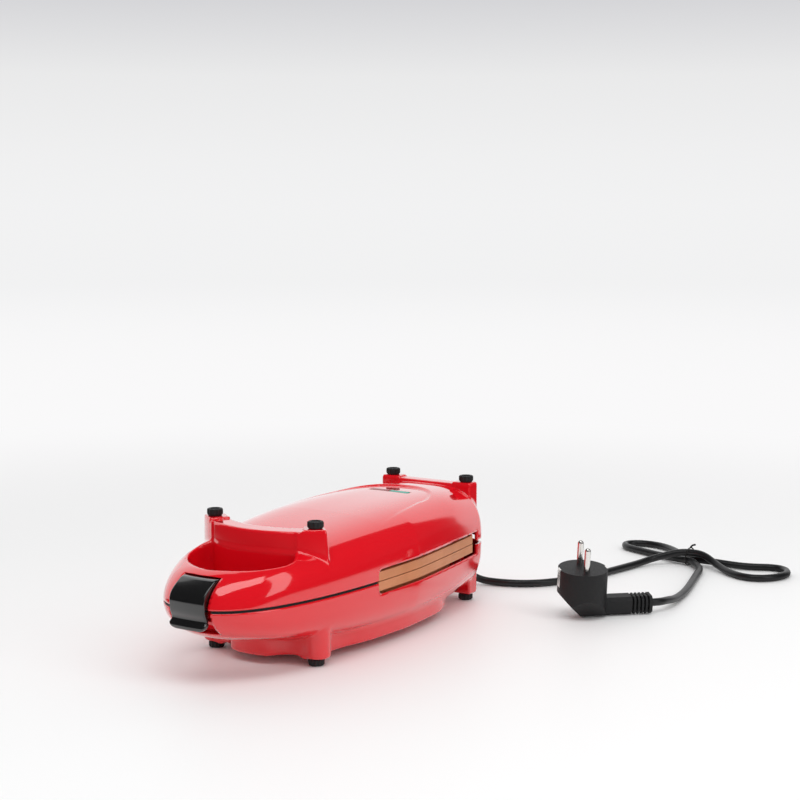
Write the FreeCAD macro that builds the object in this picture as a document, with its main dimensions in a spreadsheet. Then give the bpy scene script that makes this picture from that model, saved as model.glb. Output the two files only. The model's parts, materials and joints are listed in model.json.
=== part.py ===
import FreeCAD, Part
import math
import os

import Sketcher
from FreeCAD import Placement, Rotation, Vector

# Double-sided electric skillet, millimetres, +Z up, +Y to the hinge, nose at -Y.
# The floor is z = 0 and the two halves part on the seam plane.
# Each half is described by its rise above the seam, and the lower half is the mirror image.

DIMENSIONS = [
    ("overall_height", 100),
    ("hull_half_width", 63.8),
    ("hull_widest", 25.5),
    ("nose_front", -158),
    ("nose_face", -156.25),
    ("nose_rise", 18.5),
    ("nose_round", 24),
    ("swell_rise", 26),
    ("crown_place", 75),
    ("crown_fall", 5),
    ("rear_back", 153),
    ("rear_round", 18),
    ("wall", 2.6),
    ("rim_gap", 1),
    ("rear_rim_gap", 1.8),
    ("rear_relief_start", 123),
    ("fin_centre", -32.5),
    ("fin_outer", 64),
    ("fin_inner", 49),
    ("fin_rise", 43.4),
    ("fin_angle", 53.4),
    ("pad_angle", 37.3),
    ("boss_rise", 44.8),
    ("column_side", 44.3),
    ("column_place", -74),
    ("column_radius", 9),
    ("front_foot_side", 43.7),
    ("front_foot_place", -75),
    ("rear_foot_side", 34.4),
    ("rear_foot_place", 142),
    ("bar_half_width", 43),
    ("bar_pad_inner", 26),
    ("bar_front", 136.2),
    ("bar_back", 147.8),
    ("bar_rise", 43.4),
    ("tub_rise", 44.4),
    ("tub_draft", 1.2),
    ("tub_bevel", 1.2),
    ("window_front", -25.2),
    ("window_back", 129.5),
    ("window_rise", 9),
    ("window_round", 4),
    ("panel_front", -5),
    ("panel_half_width", 50),
    ("panel_waist", 40),
    ("panel_bend", 63.5),
    ("panel_back", 109.5),
    ("panel_step", 1.7),
    ("panel_lead_in", 16),
    ("plate_centre", 16.5),
    ("plate_half_length", 104.5),
    ("plate_half_width", 56.8),
    ("plate_face", 0.3),
    ("plate_back", 18.3),
    ("plate_rim", 9),
    ("plate_depth", 14),
    ("flange_front", -24),
    ("flange_back", 123),
    ("flange_inset", 1.5),
    ("flange_rise", 6.8),
    ("hinge_place", 154.5),
    ("knuckle_radius", 5.5),
    ("knuckle_half_width", 17.5),
    ("lug_inner", 18),
    ("lug_outer", 30),
    ("hinge_pin_radius", 2),
    ("running_gap", 0.05),
    ("moving_gap", 0.8),
    ("latch_half_width", 16.4),
    ("latch_recess_half_width", 17),
    ("latch_bow", 75),
    ("latch_pivot_place", -143.4),
    ("latch_pivot_rise", 13.85),
    ("latch_knuckle", 4.8),
    ("latch_socket", 5.6),
    ("latch_pin_radius", 1.5),
    ("nose_block_half_width", 21.5),
    ("foot_radius", 5.74),
    ("foot_height", 5.2),
    ("shield_half_width", 40),
    ("shield_front", -60),
    ("shield_back", 92),
    ("shield_rise", 25.4),
    ("shield_thickness", 0.8),
    ("heater_radius", 3.3),
    ("heater_half_width", 34),
    ("heater_bend", -35),
    ("heater_end", 95),
    ("heater_terminal_end", 107),
    ("lens_place", 83.7),
    ("lens_half_width", 17),
    ("lens_depth", 7.6),
    ("cord_radius", 3),
    ("cord_side", 12),
    ("cord_height", 17.5),
    ("gland_end", 160),
    ("plug_radius", 19),
    ("plug_height", 38),
    ("plug_pin_radius", 2.4),
    ("plug_pin_length", 19),
    ("plug_pin_spacing", 19),
    ("plug_tilt", 7),
    ("plug_turn", 43),
]

HALVES = {"lower": -1, "upper": 1}
FEET = {
    "front_left": (-1, "front_foot_side", "front_foot_place"),
    "front_right": (1, "front_foot_side", "front_foot_place"),
    "rear_left": (-1, "rear_foot_side", "rear_foot_place"),
    "rear_right": (1, "rear_foot_side", "rear_foot_place"),
}

doc = FreeCAD.newDocument("skillet")
sheet = doc.addObject("Spreadsheet::Sheet", "Sizes")
for row, (alias, number) in enumerate(DIMENSIONS, start=1):
    sheet.set("A%d" % row, alias.replace("_", " "))
    sheet.set("B%d" % row, str(number))
    sheet.setAlias("B%d" % row, alias)
doc.recompute()

nodes = []


def size(alias):
    return float(sheet.get(alias))


SEAM = size("overall_height") / 2


def node(label, obj):
    obj.Label = label
    nodes.append(obj)
    return obj


def feature(label, shape, place=Placement()):
    """A sub-part whose shape is worked out in code from the sheet."""
    obj = doc.addObject("Part::Feature", label)
    obj.Shape = shape
    obj.Placement = place
    return node(label, obj)


def mirrored(shape):
    """The mirror image in the seam plane."""
    return shape.mirror(Vector(0, 0, SEAM), Vector(0, 0, 1))


def for_half(shape, half):
    return shape if HALVES[half] > 0 else mirrored(shape)


def at_rise(rise):
    return SEAM + rise


def box(x_range, y_range, rise_range):
    corner = Vector(x_range[0], y_range[0], at_rise(rise_range[0]))
    return Part.makeBox(x_range[1] - x_range[0], y_range[1] - y_range[0],
                        rise_range[1] - rise_range[0], corner)


def post(x, y, radius, rise_from, rise_to):
    return Part.makeCylinder(radius, rise_to - rise_from, Vector(x, y, at_rise(rise_from)))


def bar_along_x(y, rise, radius, x_from, x_to):
    return Part.makeCylinder(radius, x_to - x_from, Vector(x_from, y, at_rise(rise)), Vector(1, 0, 0))


def prism(face, rise_from, rise_to):
    """A flat face on z = 0, lifted and drawn up between two rises."""
    base = face.copy()
    base.translate(Vector(0, 0, at_rise(rise_from)))
    return base.extrude(Vector(0, 0, rise_to - rise_from))


def turned(profile, origin, axis, radial):
    """A closed profile of (along, out) points, turned about an axis."""
    corners = [origin + axis * along + radial * out for along, out in profile]
    face = Part.Face(Part.makePolygon(corners + corners[:1]))
    return face.revolve(origin, axis, 360)


# The hull: one smooth body, blunt at the nose, widest behind the middle.

def blend(start, end, value):
    t = min(max((value - start) / (end - start), 0), 1)
    return t * t * (3 - 2 * t)


def rear_corner(y):
    t = min(max((y - size("rear_back") + size("rear_round")) / size("rear_round"), 0), 1)
    return 1 - math.sqrt(1 - t * t)


def half_width(y):
    if y <= size("hull_widest"):
        t = (size("hull_widest") - y) / (size("hull_widest") - size("nose_front"))
        return size("hull_half_width") * (1 - t ** 2.4) ** 0.38
    t = (y - size("hull_widest")) / (size("rear_back") - size("hull_widest"))
    return size("hull_half_width") * (1 - 0.23 * t ** 1.2) - 26 * rear_corner(y)


def crown(y):
    full = size("nose_rise") + size("swell_rise")
    if y > size("crown_place"):
        t = (y - size("crown_place")) / (size("rear_back") - size("crown_place"))
        return full - size("crown_fall") * t * t - 17 * rear_corner(y)
    run = y - size("nose_front")
    bow = 1 - min(run / size("nose_round"), 1)
    swell = 1 - (1 - run / (size("crown_place") - size("nose_front"))) ** 2.1
    return size("nose_rise") * math.sqrt(1 - bow * bow) + size("swell_rise") * swell


def squareness(y):
    return 2.2 + 1.4 * blend(-150, -105, y) - 0.6 * blend(90, 150, y)


def hull_section(y, grow, steps=28):
    """Half of a superellipse, from the right rim over the crown to the left rim."""
    wide = half_width(y)
    high = crown(y)
    power = squareness(y)
    points = []
    for i in range(steps + 1):
        turn = math.pi * i / steps
        reach = abs(math.cos(turn) / wide) ** power + abs(math.sin(turn) / high) ** power
        radius = reach ** (-1 / power) + grow
        points.append(Vector(radius * math.cos(turn), y, SEAM + radius * math.sin(turn)))
    return points


def hull_stations(front, rear):
    nose_end = size("nose_front") + size("nose_round")
    rear_start = size("rear_back") - size("rear_round")
    places = [nose_end - size("nose_round") * math.sin(math.radians(a))
              for a in (62, 54, 43, 32, 21, 10)]
    places += [nose_end + (rear_start - nose_end) * i / 24 for i in range(25)]
    places += [rear_start + size("rear_round") * math.sin(math.radians(a))
               for a in (13, 26, 39, 52, 65, 77, 88)]
    return [front] + [y for y in places if front + 1 < y < rear - 0.3] + [rear]


def hull(grow, front, rear):
    """The upper half of the hull as a solid, its flat side on the seam plane."""
    surface = Part.BSplineSurface()
    surface.interpolate([hull_section(y, grow) for y in hull_stations(front, rear)])
    skin = surface.toShape()
    ends = [edge for edge in skin.Edges if edge.BoundBox.YLength < 1e-3]
    rims = [edge for edge in skin.Edges if edge.BoundBox.YLength >= 1e-3]
    chords = [Part.makeLine(edge.Vertexes[0].Point, edge.Vertexes[-1].Point) for edge in ends]
    caps = [Part.Face(Part.Wire([edge, chord])) for edge, chord in zip(ends, chords)]
    floor = Part.Face(Part.Wire(Part.__sortEdges__(rims + chords)))
    shell = Part.makeShell([skin, floor] + caps)
    shell.sewShape()
    solid = Part.makeSolid(shell)
    if solid.Volume < 0:
        solid.reverse()
    return solid


def moved(shape, dx=0, dy=0, dz=0):
    copy = shape.copy()
    copy.translate(Vector(dx, dy, dz))
    return copy


# Outlines seen from above, as flat faces on z = 0.

def disc(centre_y, radius):
    return Part.Face(Part.Wire(Part.makeCircle(radius, Vector(0, centre_y, 0))))


def moved_out(outline, grow, closed=False):
    """The outline's points as vectors, each moved out across the line between its neighbours."""
    points = []
    last = len(outline) - 1
    for i, (x, y) in enumerate(outline):
        before = outline[i - 1 if closed else max(i - 1, 0)]
        after = outline[(i + 1) % len(outline) if closed else min(i + 1, last)]
        along = Vector(after[0] - before[0], after[1] - before[1], 0).normalize()
        points.append(Vector(x, y, 0) + Vector(along.y, -along.x, 0) * grow)
    return points


def well_face(grow):
    """The finger well: a rounded wedge in front of the fin's arc."""
    right = [(14, -132), (26.5, -124), (36.5, -112), (40.3, -102), (39.8, -95), (36.5, -89.5), (31, -84)]
    points = moved_out([(-x, y) for x, y in reversed(right)] + [(0, -135.5)] + right, grow)
    curve = Part.BSplineCurve()
    curve.interpolate(points)
    closing = Part.makeLine(points[-1], points[0])
    face = Part.Face(Part.Wire([curve.toShape(), closing]))
    return face.cut(disc(size("fin_centre"), size("fin_outer") - grow))


def fin_face(outer, inner, first, last):
    """A band about the fin's centre between two turns from the -Y axis, in degrees."""
    centre = Vector(0, size("fin_centre"), 0)
    start, middle, end = (math.radians(turn) for turn in (first, (first + last) / 2, last))

    def on_arc(radius, turn):
        return centre + Vector(radius * math.sin(turn), -radius * math.cos(turn), 0)

    arcs = [Part.Arc(on_arc(r, start), on_arc(r, middle), on_arc(r, end)).toShape() for r in (outer, inner)]
    sides = [Part.makeLine(on_arc(outer, turn), on_arc(inner, turn)) for turn in (start, end)]
    return Part.Face(Part.Wire(Part.__sortEdges__(arcs + sides)))


def oval_ended_face(front, front_half, bend, bend_half, back):
    """Straight sides that draw in to a bend, then half an ellipse."""
    left = Vector(-bend_half, bend, 0)
    right = Vector(bend_half, bend, 0)
    front_left = Vector(-front_half, front, 0)
    front_right = Vector(front_half, front, 0)
    rise = back - bend
    if rise > bend_half:
        ellipse = Part.Ellipse(Vector(0, back, 0), right, Vector(0, bend, 0))
    else:
        ellipse = Part.Ellipse(right, Vector(0, back, 0), Vector(0, bend, 0))
    start, end = sorted((ellipse.parameter(right), ellipse.parameter(left)))
    arc = ellipse.toShape(start, end)
    if arc.BoundBox.YMax < back - 0.01:
        arc = ellipse.toShape(end, start + 2 * math.pi)
    sides = [Part.makeLine(left, front_left), Part.makeLine(front_left, front_right),
             Part.makeLine(front_right, right)]
    return Part.Face(Part.Wire(Part.__sortEdges__([arc] + sides)))


def plate_face(grow):
    """A superellipse of power three, the outline of the cooking plate."""
    wide = size("plate_half_width") + grow
    long = size("plate_half_length") + grow
    points = []
    for i in range(48):
        turn = 2 * math.pi * i / 48
        reach = abs(math.cos(turn) / wide) ** 3 + abs(math.sin(turn) / long) ** 3
        radius = reach ** (-1 / 3)
        points.append(Vector(radius * math.cos(turn), size("plate_centre") + radius * math.sin(turn), 0))
    curve = Part.BSplineCurve()
    curve.interpolate(points, PeriodicFlag=True)
    return Part.Face(Part.Wire([curve.toShape()]))


def rim_face(grow, front, rear):
    """The hull's outline at the seam between two stations."""
    count = 36
    places = [front + (rear - front) * (1 - math.cos(math.pi * i / count)) / 2 for i in range(count + 1)]
    right = [Vector(half_width(y) + grow, y, 0) for y in places]
    left = [Vector(-half_width(y) - grow, y, 0) for y in places]
    sides = []
    for points in (right, left):
        curve = Part.BSplineCurve()
        curve.interpolate(points)
        sides.append(curve.toShape())
    ends = [Part.makeLine(right[i], left[i]) for i in (0, -1)]
    return Part.Face(Part.Wire(Part.__sortEdges__(sides + ends)))


# The shells.

outer_hull = hull(0, size("nose_face"), size("rear_back") - 0.01)
inner_hull = hull(-size("wall"), -146, size("rear_back") - size("wall"))

TOP = 60
PLATE_SCREWS = [(x * s, y) for x, y in ((52, -10), (44, 115)) for s in (-1, 1)]
FRAME_SCREWS = [(x * s, y) for x, y in ((52.3, -62), (8, -142)) for s in (-1, 1)]
COVER_SCREWS = [(24 * s, 132) for s in (-1, 1)]
SCREW_RADIUS = 1.5
THREAD_HOLE = SCREW_RADIUS + size("running_gap")
SMALL_HEAD = 2.6
LARGE_HEAD = 3


def foot_places():
    return [(s * size(side), size(place)) for s, side, place in FEET.values()]


def tub(shrink):
    """The deeper pan of the lower half: a drafted, bevelled drum, narrow at its front."""
    draft = size("tub_draft")
    bevel = size("tub_bevel")
    bottom = size("tub_rise") - shrink
    wires = []
    for inset, rise in ((0, 8), (draft, bottom - bevel), (draft + bevel, bottom)):
        outline = tub_outline(-shrink - inset)
        outline.translate(Vector(0, 0, at_rise(rise)))
        wires.append(outline.OuterWire)
    return Part.makeLoft(wires, True, True)


def tub_outline(grow):
    right = [(10, -97.3), (18.5, -92.3), (23.5, -86.3), (29, -83), (36, -80.8), (41.5, -75), (46, -66),
             (48, -52), (51.5, -34), (55, -12), (57.3, 25), (55, 60), (47.6, 91), (30.4, 111.5)]
    left = [(-x, y) for x, y in reversed(right)]
    curve = Part.BSplineCurve()
    curve.interpolate(moved_out([(0, -99)] + right + [(0, 122)] + left, grow, True), PeriodicFlag=True)
    return Part.Face(Part.Wire([curve.toShape()]))


def front_rests(half):
    """What carries the front feet: the arc of the fin with a pad at each end, or two columns below."""
    if half == "lower":
        return [post(s * size("column_side"), size("column_place"), size("column_radius"), 12, size("boss_rise"))
                for s in (-1, 1)]
    angle = size("fin_angle")
    outer = size("fin_outer")
    inner = size("fin_inner")
    parts = [prism(fin_face(outer, inner, -angle, angle), 12, size("fin_rise"))]
    for turns in ((size("pad_angle"), angle), (-angle, -size("pad_angle"))):
        parts.append(prism(fin_face(outer, inner, *turns), 12, size("boss_rise")))
    return parts


def raised_parts(half):
    """What stands on the hull: front rests, rear bar with its pads, and the tub below."""
    parts = front_rests(half)
    width = size("bar_half_width")
    depth = (size("bar_front"), size("bar_back"))
    parts.append(box((-width, width), depth, (20, size("bar_rise"))))
    for sides in ((size("bar_pad_inner"), width), (-width, -size("bar_pad_inner"))):
        parts.append(box(sides, depth, (20, size("boss_rise"))))
    if half == "lower":
        parts.append(tub(0))
    return parts


def hollow(half):
    """The room inside a half, without the walls of the well and the screw posts."""
    room = inner_hull
    wall = size("wall")
    if half == "lower":
        room = room.fuse(tub(wall))
    else:
        reach = size("pad_angle") - 2
        band = fin_face(size("fin_outer") - wall, size("fin_inner") + wall, -reach, reach)
        room = room.fuse(prism(band, 12, size("fin_rise") - wall))
    block = size("nose_block_half_width")
    solid_parts = [prism(well_face(wall), -1, TOP), box((-block, block), (-170, -130), (-1, TOP))]
    solid_parts += [post(x, y, 4, size("plate_back") if y < 0 else size("flange_rise"), TOP)
                    for x, y in PLATE_SCREWS]
    solid_parts += [post(x, y, 3.4, 3.6, TOP) for x, y in FRAME_SCREWS]
    solid_parts += [post(x, y, 3.4, 4.2, TOP) for x, y in COVER_SCREWS]
    solid_parts += [post(x, y, 4, 30, TOP) for x, y in foot_places()]
    return room.cut(solid_parts)


def window():
    """The cut along both sides, open to the seam, its front corner rounded."""
    front = size("window_front")
    back = size("window_back")
    rise = size("window_rise")
    radius = size("window_round")
    low = Vector(-80, front, at_rise(-2))
    shoulder = Vector(-80, front, at_rise(rise - radius))
    bend = Vector(-80, front + radius * (1 - math.sqrt(0.5)), at_rise(rise - radius * (1 - math.sqrt(0.5))))
    top = Vector(-80, front + radius, at_rise(rise))
    far_top = Vector(-80, back, at_rise(rise))
    far_low = Vector(-80, back, at_rise(-2))
    edges = [Part.makeLine(low, shoulder), Part.Arc(shoulder, bend, top).toShape(),
             Part.makeLine(top, far_top), Part.makeLine(far_top, far_low), Part.makeLine(far_low, low)]
    return Part.Face(Part.Wire(edges)).extrude(Vector(160, 0, 0))


def latch_recess(half):
    """The bed of the latch in the nose, a step below the hull's face."""
    width = size("latch_recess_half_width")
    low = -2 if half == "upper" else -0.1
    high = size("latch_pivot_rise") if half == "upper" else 17
    step = 5 if half == "upper" else 6.5
    bed = box((-width, width), (-170, -130), (low, high)).cut(moved(outer_hull, dy=step))
    if half == "lower":
        return bed
    place = size("latch_pivot_place")
    return bed.fuse(bar_along_x(place, size("latch_pivot_rise"), size("latch_socket"), -width, width))


def panel_recess():
    """A shallow horseshoe in the top panel, deepest at the rear and running out to the front."""
    outline = oval_ended_face(size("panel_front"), size("panel_half_width"), size("panel_bend"),
                              size("panel_waist"), size("panel_back"))
    floor = outer_hull.copy()
    start = size("panel_front") - size("panel_lead_in")
    slope = math.degrees(size("panel_step") / (size("panel_back") - start))
    floor.rotate(Vector(0, start, at_rise(40)), Vector(1, 0, 0), -slope)
    return prism(outline, 20, TOP).cut(floor)


def screw_holes():
    holes = [post(x, y, THREAD_HOLE, 0, 29) for x, y in PLATE_SCREWS]
    holes += [post(x, y, THREAD_HOLE, 0, 8) for x, y in FRAME_SCREWS]
    holes += [post(x, y, THREAD_HOLE, 0, 9) for x, y in COVER_SCREWS]
    holes += [post(x, y, SMALL_HEAD + 0.1, 0, 1.5) for x, y in FRAME_SCREWS if y < -120]
    holes += [post(x, y, THREAD_HOLE, size("boss_rise") - 10, TOP) for x, y in foot_places()]
    return holes


def knuckle_zone(half, radius, margin):
    """The hinge barrels of one half: one in the middle above, two outside below."""
    if half == "upper":
        width = size("knuckle_half_width") + margin
        return [bar_along_x(size("hinge_place"), 0, radius, -width, width)]
    inner = size("lug_inner") - margin
    outer = size("lug_outer") + margin
    return [bar_along_x(size("hinge_place"), 0, radius, inner, outer),
            bar_along_x(size("hinge_place"), 0, radius, -outer, -inner)]


def knuckle_webs(half):
    web = (149, size("hinge_place"))
    rise = (0, 9)
    if half == "upper":
        width = size("knuckle_half_width")
        return [box((-width, width), web, rise)]
    return [box((size("lug_inner"), size("lug_outer")), web, rise),
            box((-size("lug_outer"), -size("lug_inner")), web, rise)]


def hull_shell(half):
    other = "lower" if half == "upper" else "upper"
    body = outer_hull.fuse(raised_parts(half))
    cuts = [hollow(half), prism(well_face(0), -2, TOP), window(), latch_recess(half)]
    cuts.append(box((-90, 90), (-180, 180), (-5, size("rim_gap"))))
    cuts.append(box((-90, 90), (size("rear_relief_start"), 180), (-5, size("rear_rim_gap"))))
    cuts += screw_holes()
    if half == "upper":
        cuts.append(panel_recess())
        half_lens = size("lens_half_width") + 0.2
        depth = size("lens_depth") / 2 + 0.2
        place = size("lens_place")
        cuts.append(box((-half_lens, half_lens), (place - depth, place + depth), (35, TOP)))
    body = body.cut(cuts)
    body = body.fuse(knuckle_webs(half)).fuse(knuckle_zone(half, size("knuckle_radius"), 0))
    if half == "lower":
        body = body.fuse(cord_boss()).cut(cord_hole())
    notch = knuckle_zone(other, size("knuckle_radius") + size("moving_gap"), 0.3)
    pin = bar_along_x(size("hinge_place"), 0, size("hinge_pin_radius") + size("running_gap"), -40, 40)
    body = body.cut(notch + [pin])
    body = body.cut([latch_pin_hole()]) if half == "upper" else body.fuse(latch_catch())
    return for_half(max(body.Solids, key=lambda s: s.Volume), half)


def latch_pin_hole():
    reach = 21
    return bar_along_x(size("latch_pivot_place"), size("latch_pivot_rise"), size("latch_pin_radius"),
                       -reach, reach)


def latch_catch():
    """A low rib across the bed below the seam, which the latch's tooth snaps behind."""
    rib = box((-14, 14), (-160, -140), (6.5, 8.5))
    return rib.common(moved(outer_hull, dy=5.4)).cut(moved(outer_hull, dy=7.5))


def cord_boss():
    """A round seat for the cord gland in the rear wall of the lower half."""
    start = Vector(size("cord_side"), 140, at_rise(SEAM - size("cord_height")))
    return Part.makeCylinder(7, 13, start, Vector(0, 1, 0))


def cord_hole():
    start = Vector(size("cord_side"), 130, at_rise(SEAM - size("cord_height")))
    return Part.makeCylinder(4.55, 50, start, Vector(0, 1, 0))


# The pieces between shells and plates.

def frame(half):
    """The dark heat-resistant ring along the front rim, with a lip over the shell's edge."""
    back = size("window_front") - 1.3
    inner = frame_hull.common(box((-90, 90), (-180, back), (1, 3.6)))
    block = size("nose_block_half_width") + 0.3
    nose_block = box((-block, block), (-170, -129.7), (-1, 5))
    inner = inner.cut([prism(well_face(size("wall") + 0.3), -1, 5), nose_block])
    lip = prism(rim_face(-0.9, -155.4, back), 0.2, 1)
    width = size("latch_half_width") + 0.9
    bed = box((-width, width), (-170, -130), (-1, 2)).cut(moved(outer_hull, dy=6.9))
    lip = lip.cut([prism(well_face(0.9), -1, 5), bed])
    holes = [post(x, y, THREAD_HOLE, 0, 5) for x, y in FRAME_SCREWS]
    holes += [post(x, y, SMALL_HEAD + 0.1, 0, 1.5) for x, y in FRAME_SCREWS]
    holes.append(prism(plate_face(0.6), -1, 5))
    return for_half(lip.fuse(inner).cut(holes), half)


def plate(half):
    """The cast cooking plate, its pan open to the seam, with a flange out to the side windows."""
    face = size("plate_face")
    flange = rim_face(-size("flange_inset"), size("flange_front"), size("flange_back"))
    solid = prism(plate_face(0), face, size("plate_back")).fuse(prism(flange, face, size("flange_rise")))
    pan = prism(plate_face(-size("plate_rim")), face - 1, face + size("plate_depth"))
    deep_edges = [e for e in pan.Edges if abs(e.BoundBox.ZMin - at_rise(face + size("plate_depth"))) < 1e-3]
    cuts = [pan.makeFillet(5, deep_edges)]
    cuts += [post(x, y, THREAD_HOLE, 0, 20) for x, y in PLATE_SCREWS]
    cuts += [post(x, y, LARGE_HEAD + 0.1, 0, 2.6) for x, y in PLATE_SCREWS]
    return for_half(solid.cut(cuts).removeSplitter(), half)


def heater(half):
    """A sheathed element bent to a hairpin on the plate's back, with a pin at each end."""
    side = size("heater_half_width")
    rise = at_rise(size("plate_back") + size("heater_radius"))
    bend = size("heater_bend")
    end = size("heater_end")
    left = Vector(-side, bend, rise)
    right = Vector(side, bend, rise)
    path = Part.Wire([Part.makeLine(Vector(-side, end, rise), left),
                      Part.Arc(left, Vector(0, bend - side, rise), right).toShape(),
                      Part.makeLine(right, Vector(side, end, rise))])
    profile = Part.Wire(Part.makeCircle(size("heater_radius"), Vector(-side, end, rise), Vector(0, -1, 0)))
    solid = path.makePipeShell([profile], True, False)
    length = size("heater_terminal_end") - end + 2
    for x in (-side, side):
        pin = Part.makeCylinder(1.2, length, Vector(x, end - 2, rise), Vector(0, 1, 0))
        solid = solid.fuse(pin)
    return for_half(solid, half)


STUDS = [(20 * s, y) for y in (-40, 84) for s in (-1, 1)]


def fasteners(places, profile, half):
    """One turned profile of (rise, radius) points, repeated as separate solids."""
    solids = [turned(profile, Vector(x, y, at_rise(0)), Vector(0, 0, 1), Vector(1, 0, 0)) for x, y in places]
    return for_half(Part.makeCompound(solids), half)


def shield_studs(half):
    start = size("plate_back")
    seat = size("shield_rise")
    lock = seat + size("shield_thickness")
    profile = [(start, 0), (start, 2), (seat, 2), (seat, 1.4),
               (lock, 1.4), (lock, 3), (lock + 2, 3), (lock + 2, 0)]
    return fasteners(STUDS, profile, half)


def screw_profile(seat, head_height, head_radius, length):
    """A screw whose head rests on its seat, the shaft running up into the half."""
    top = seat - head_height
    return [(top, 0), (top, head_radius), (seat, head_radius), (seat, SCREW_RADIUS),
            (seat + length, SCREW_RADIUS), (seat + length, 0)]


def plate_screws(half):
    return fasteners(PLATE_SCREWS, screw_profile(2.6, 2, LARGE_HEAD, 25), half)


def frame_screws(half):
    front = fasteners(FRAME_SCREWS, screw_profile(1.5, 1.1, SMALL_HEAD, 6), half)
    rear = fasteners(COVER_SCREWS, screw_profile(2.2, 1.1, SMALL_HEAD, 6), half)
    return Part.makeCompound(front.Solids + rear.Solids)


def foot_screws(half):
    """Screws driven through the feet, their heads sunk in the rubber."""
    tip = size("boss_rise") + size("foot_height")
    seat = tip - 3
    profile = [(seat + 1.6, 0), (seat + 1.6, 2.8), (seat, 2.8), (seat, SCREW_RADIUS),
               (tip - 15, SCREW_RADIUS), (tip - 15, 0)]
    return fasteners(foot_places(), profile, half)


def rounded_path(points, report=None):
    """Straight runs joined by tangent arcs, each as wide as its two runs allow."""
    edges = []
    radii = []
    last = points[0]
    for before, corner, after in zip(points, points[1:], points[2:]):
        back = before - corner
        ahead = after - corner
        run = min(back.Length, ahead.Length)
        turn = math.pi - back.getAngle(ahead)
        radius = 0.45 * run / math.tan(turn / 2)
        back.normalize()
        ahead.normalize()
        start = corner + back * (0.45 * run)
        end = corner + ahead * (0.45 * run)
        inward = (back + ahead).normalize()
        middle = corner + inward * (radius / math.cos(turn / 2) - radius)
        edges.append(Part.makeLine(last, start))
        edges.append(Part.Arc(start, middle, end).toShape())
        radii.append(round(radius, 1))
        last = end
    edges.append(Part.makeLine(last, points[-1]))
    if report:
        length = sum(edge.Length for edge in edges)
        print("%s: length %.1f mm, bend radii %s" % (report, length, radii))
    return Part.Wire(edges)


def tube(points, radius, report=None):
    points = [Vector(*p) for p in points]
    path = rounded_path(points, report)
    profile = Part.Wire(Part.makeCircle(radius, points[0], points[1] - points[0]))
    solid = path.makePipeShell([profile], True, False)
    expected = math.pi * radius ** 2 * path.Length
    if abs(solid.Volume / expected - 1) > 0.01:
        raise ValueError("the tube %s does not keep its section" % report)
    return solid


def wiring(half):
    """Two insulated leads: to the terminal block below, to the hinge above."""
    ends = size("heater_terminal_end")
    side = size("heater_half_width")
    rise = SEAM + size("plate_back") + size("heater_radius")
    low = 2 * SEAM - rise
    if half == "upper":
        right = [(side, ends, rise), (side, 113, rise), (29, 119, rise - 1.5),
                 (16, 127, 63), (9, 136, 58), (7, 145, 56.5)]
        return Part.makeCompound([tube(right, 1.2), tube([(-x, y, z) for x, y, z in right], 1.2)])
    left = [(6, 99, 21.9), (6, 99, low), (-12, 107, low),
            (-28, 113.5, low), (-34, 113, low), (-side, ends, low)]
    right = [(18, 99, 21.9), (18, 99, low), (26, 108, low),
             (31.5, 113, low), (34, 112, low), (side, ends, low)]
    return Part.makeCompound([tube(left, 1.2), tube(right, 1.2)])


def gland():
    """The strain relief in the rear wall: a flange inside, a tapered sleeve outside."""
    end = size("gland_end")
    profile = [(137.6, 3), (137.6, 5), (140, 5), (140, 4.5), (153, 4.5), (153, 5.8), (155, 5.8),
               (155, 5), (end, 4.2), (end, 3)]
    origin = Vector(size("cord_side"), 0, size("cord_height"))
    return turned(profile, origin, Vector(0, 1, 0), Vector(1, 0, 0))


def inner_cord():
    start = Vector(size("cord_side"), 106, size("cord_height"))
    return Part.makeCylinder(size("cord_radius"), size("gland_end") - 106, start, Vector(0, 1, 0))


# The latch over the nose.

def latch():
    """A bowed plate hung from its pivot barrel, its lower end flared to a finger lip."""
    width = size("latch_half_width")
    place = size("latch_pivot_place")
    rise = size("latch_pivot_rise")
    face = [(-144.5, 68.6), (-149, 66.3), (-152.7, 61), (-155.5, 54.5),
            (-157.4, 47.5), (-158, 42.5), (-160, 39.2)]
    back = [(-157, 36.6), (-155.4, 42), (-154.8, 47.5), (-152.8, 54.5), (-150, 60), (-146, 63.9)]
    outer = Part.BSplineCurve()
    outer.interpolate([Vector(-width, y, z) for y, z in face])
    inner = Part.BSplineCurve()
    inner.interpolate([Vector(-width, y, z) for y, z in back])
    tip = Vector(-width, -160, 36.6)
    edges = [outer.toShape(), Part.makeLine(Vector(-width, *face[-1]), tip),
             Part.makeLine(tip, Vector(-width, *back[0])), inner.toShape(),
             Part.makeLine(Vector(-width, *back[-1]), Vector(-width, *face[0]))]
    slab = Part.Face(Part.Wire(edges)).extrude(Vector(2 * width, 0, 0))
    bow = size("latch_bow")
    slab = slab.common(Part.makeCylinder(bow, 60, Vector(0, bow - 160, 20)))
    tooth = box((-12, 12), (-157.4, -151.3), (-11.5, -9.5))
    barrel = bar_along_x(place, rise, size("latch_knuckle"), -width, width)
    hole = bar_along_x(place, rise, size("latch_pin_radius") + size("running_gap"), -30, 30)
    return slab.fuse([barrel, tooth]).removeSplitter().cut(hole)


# The cord on the floor: a lead from the gland, a tied figure of eight, a tail to the plug.

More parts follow.
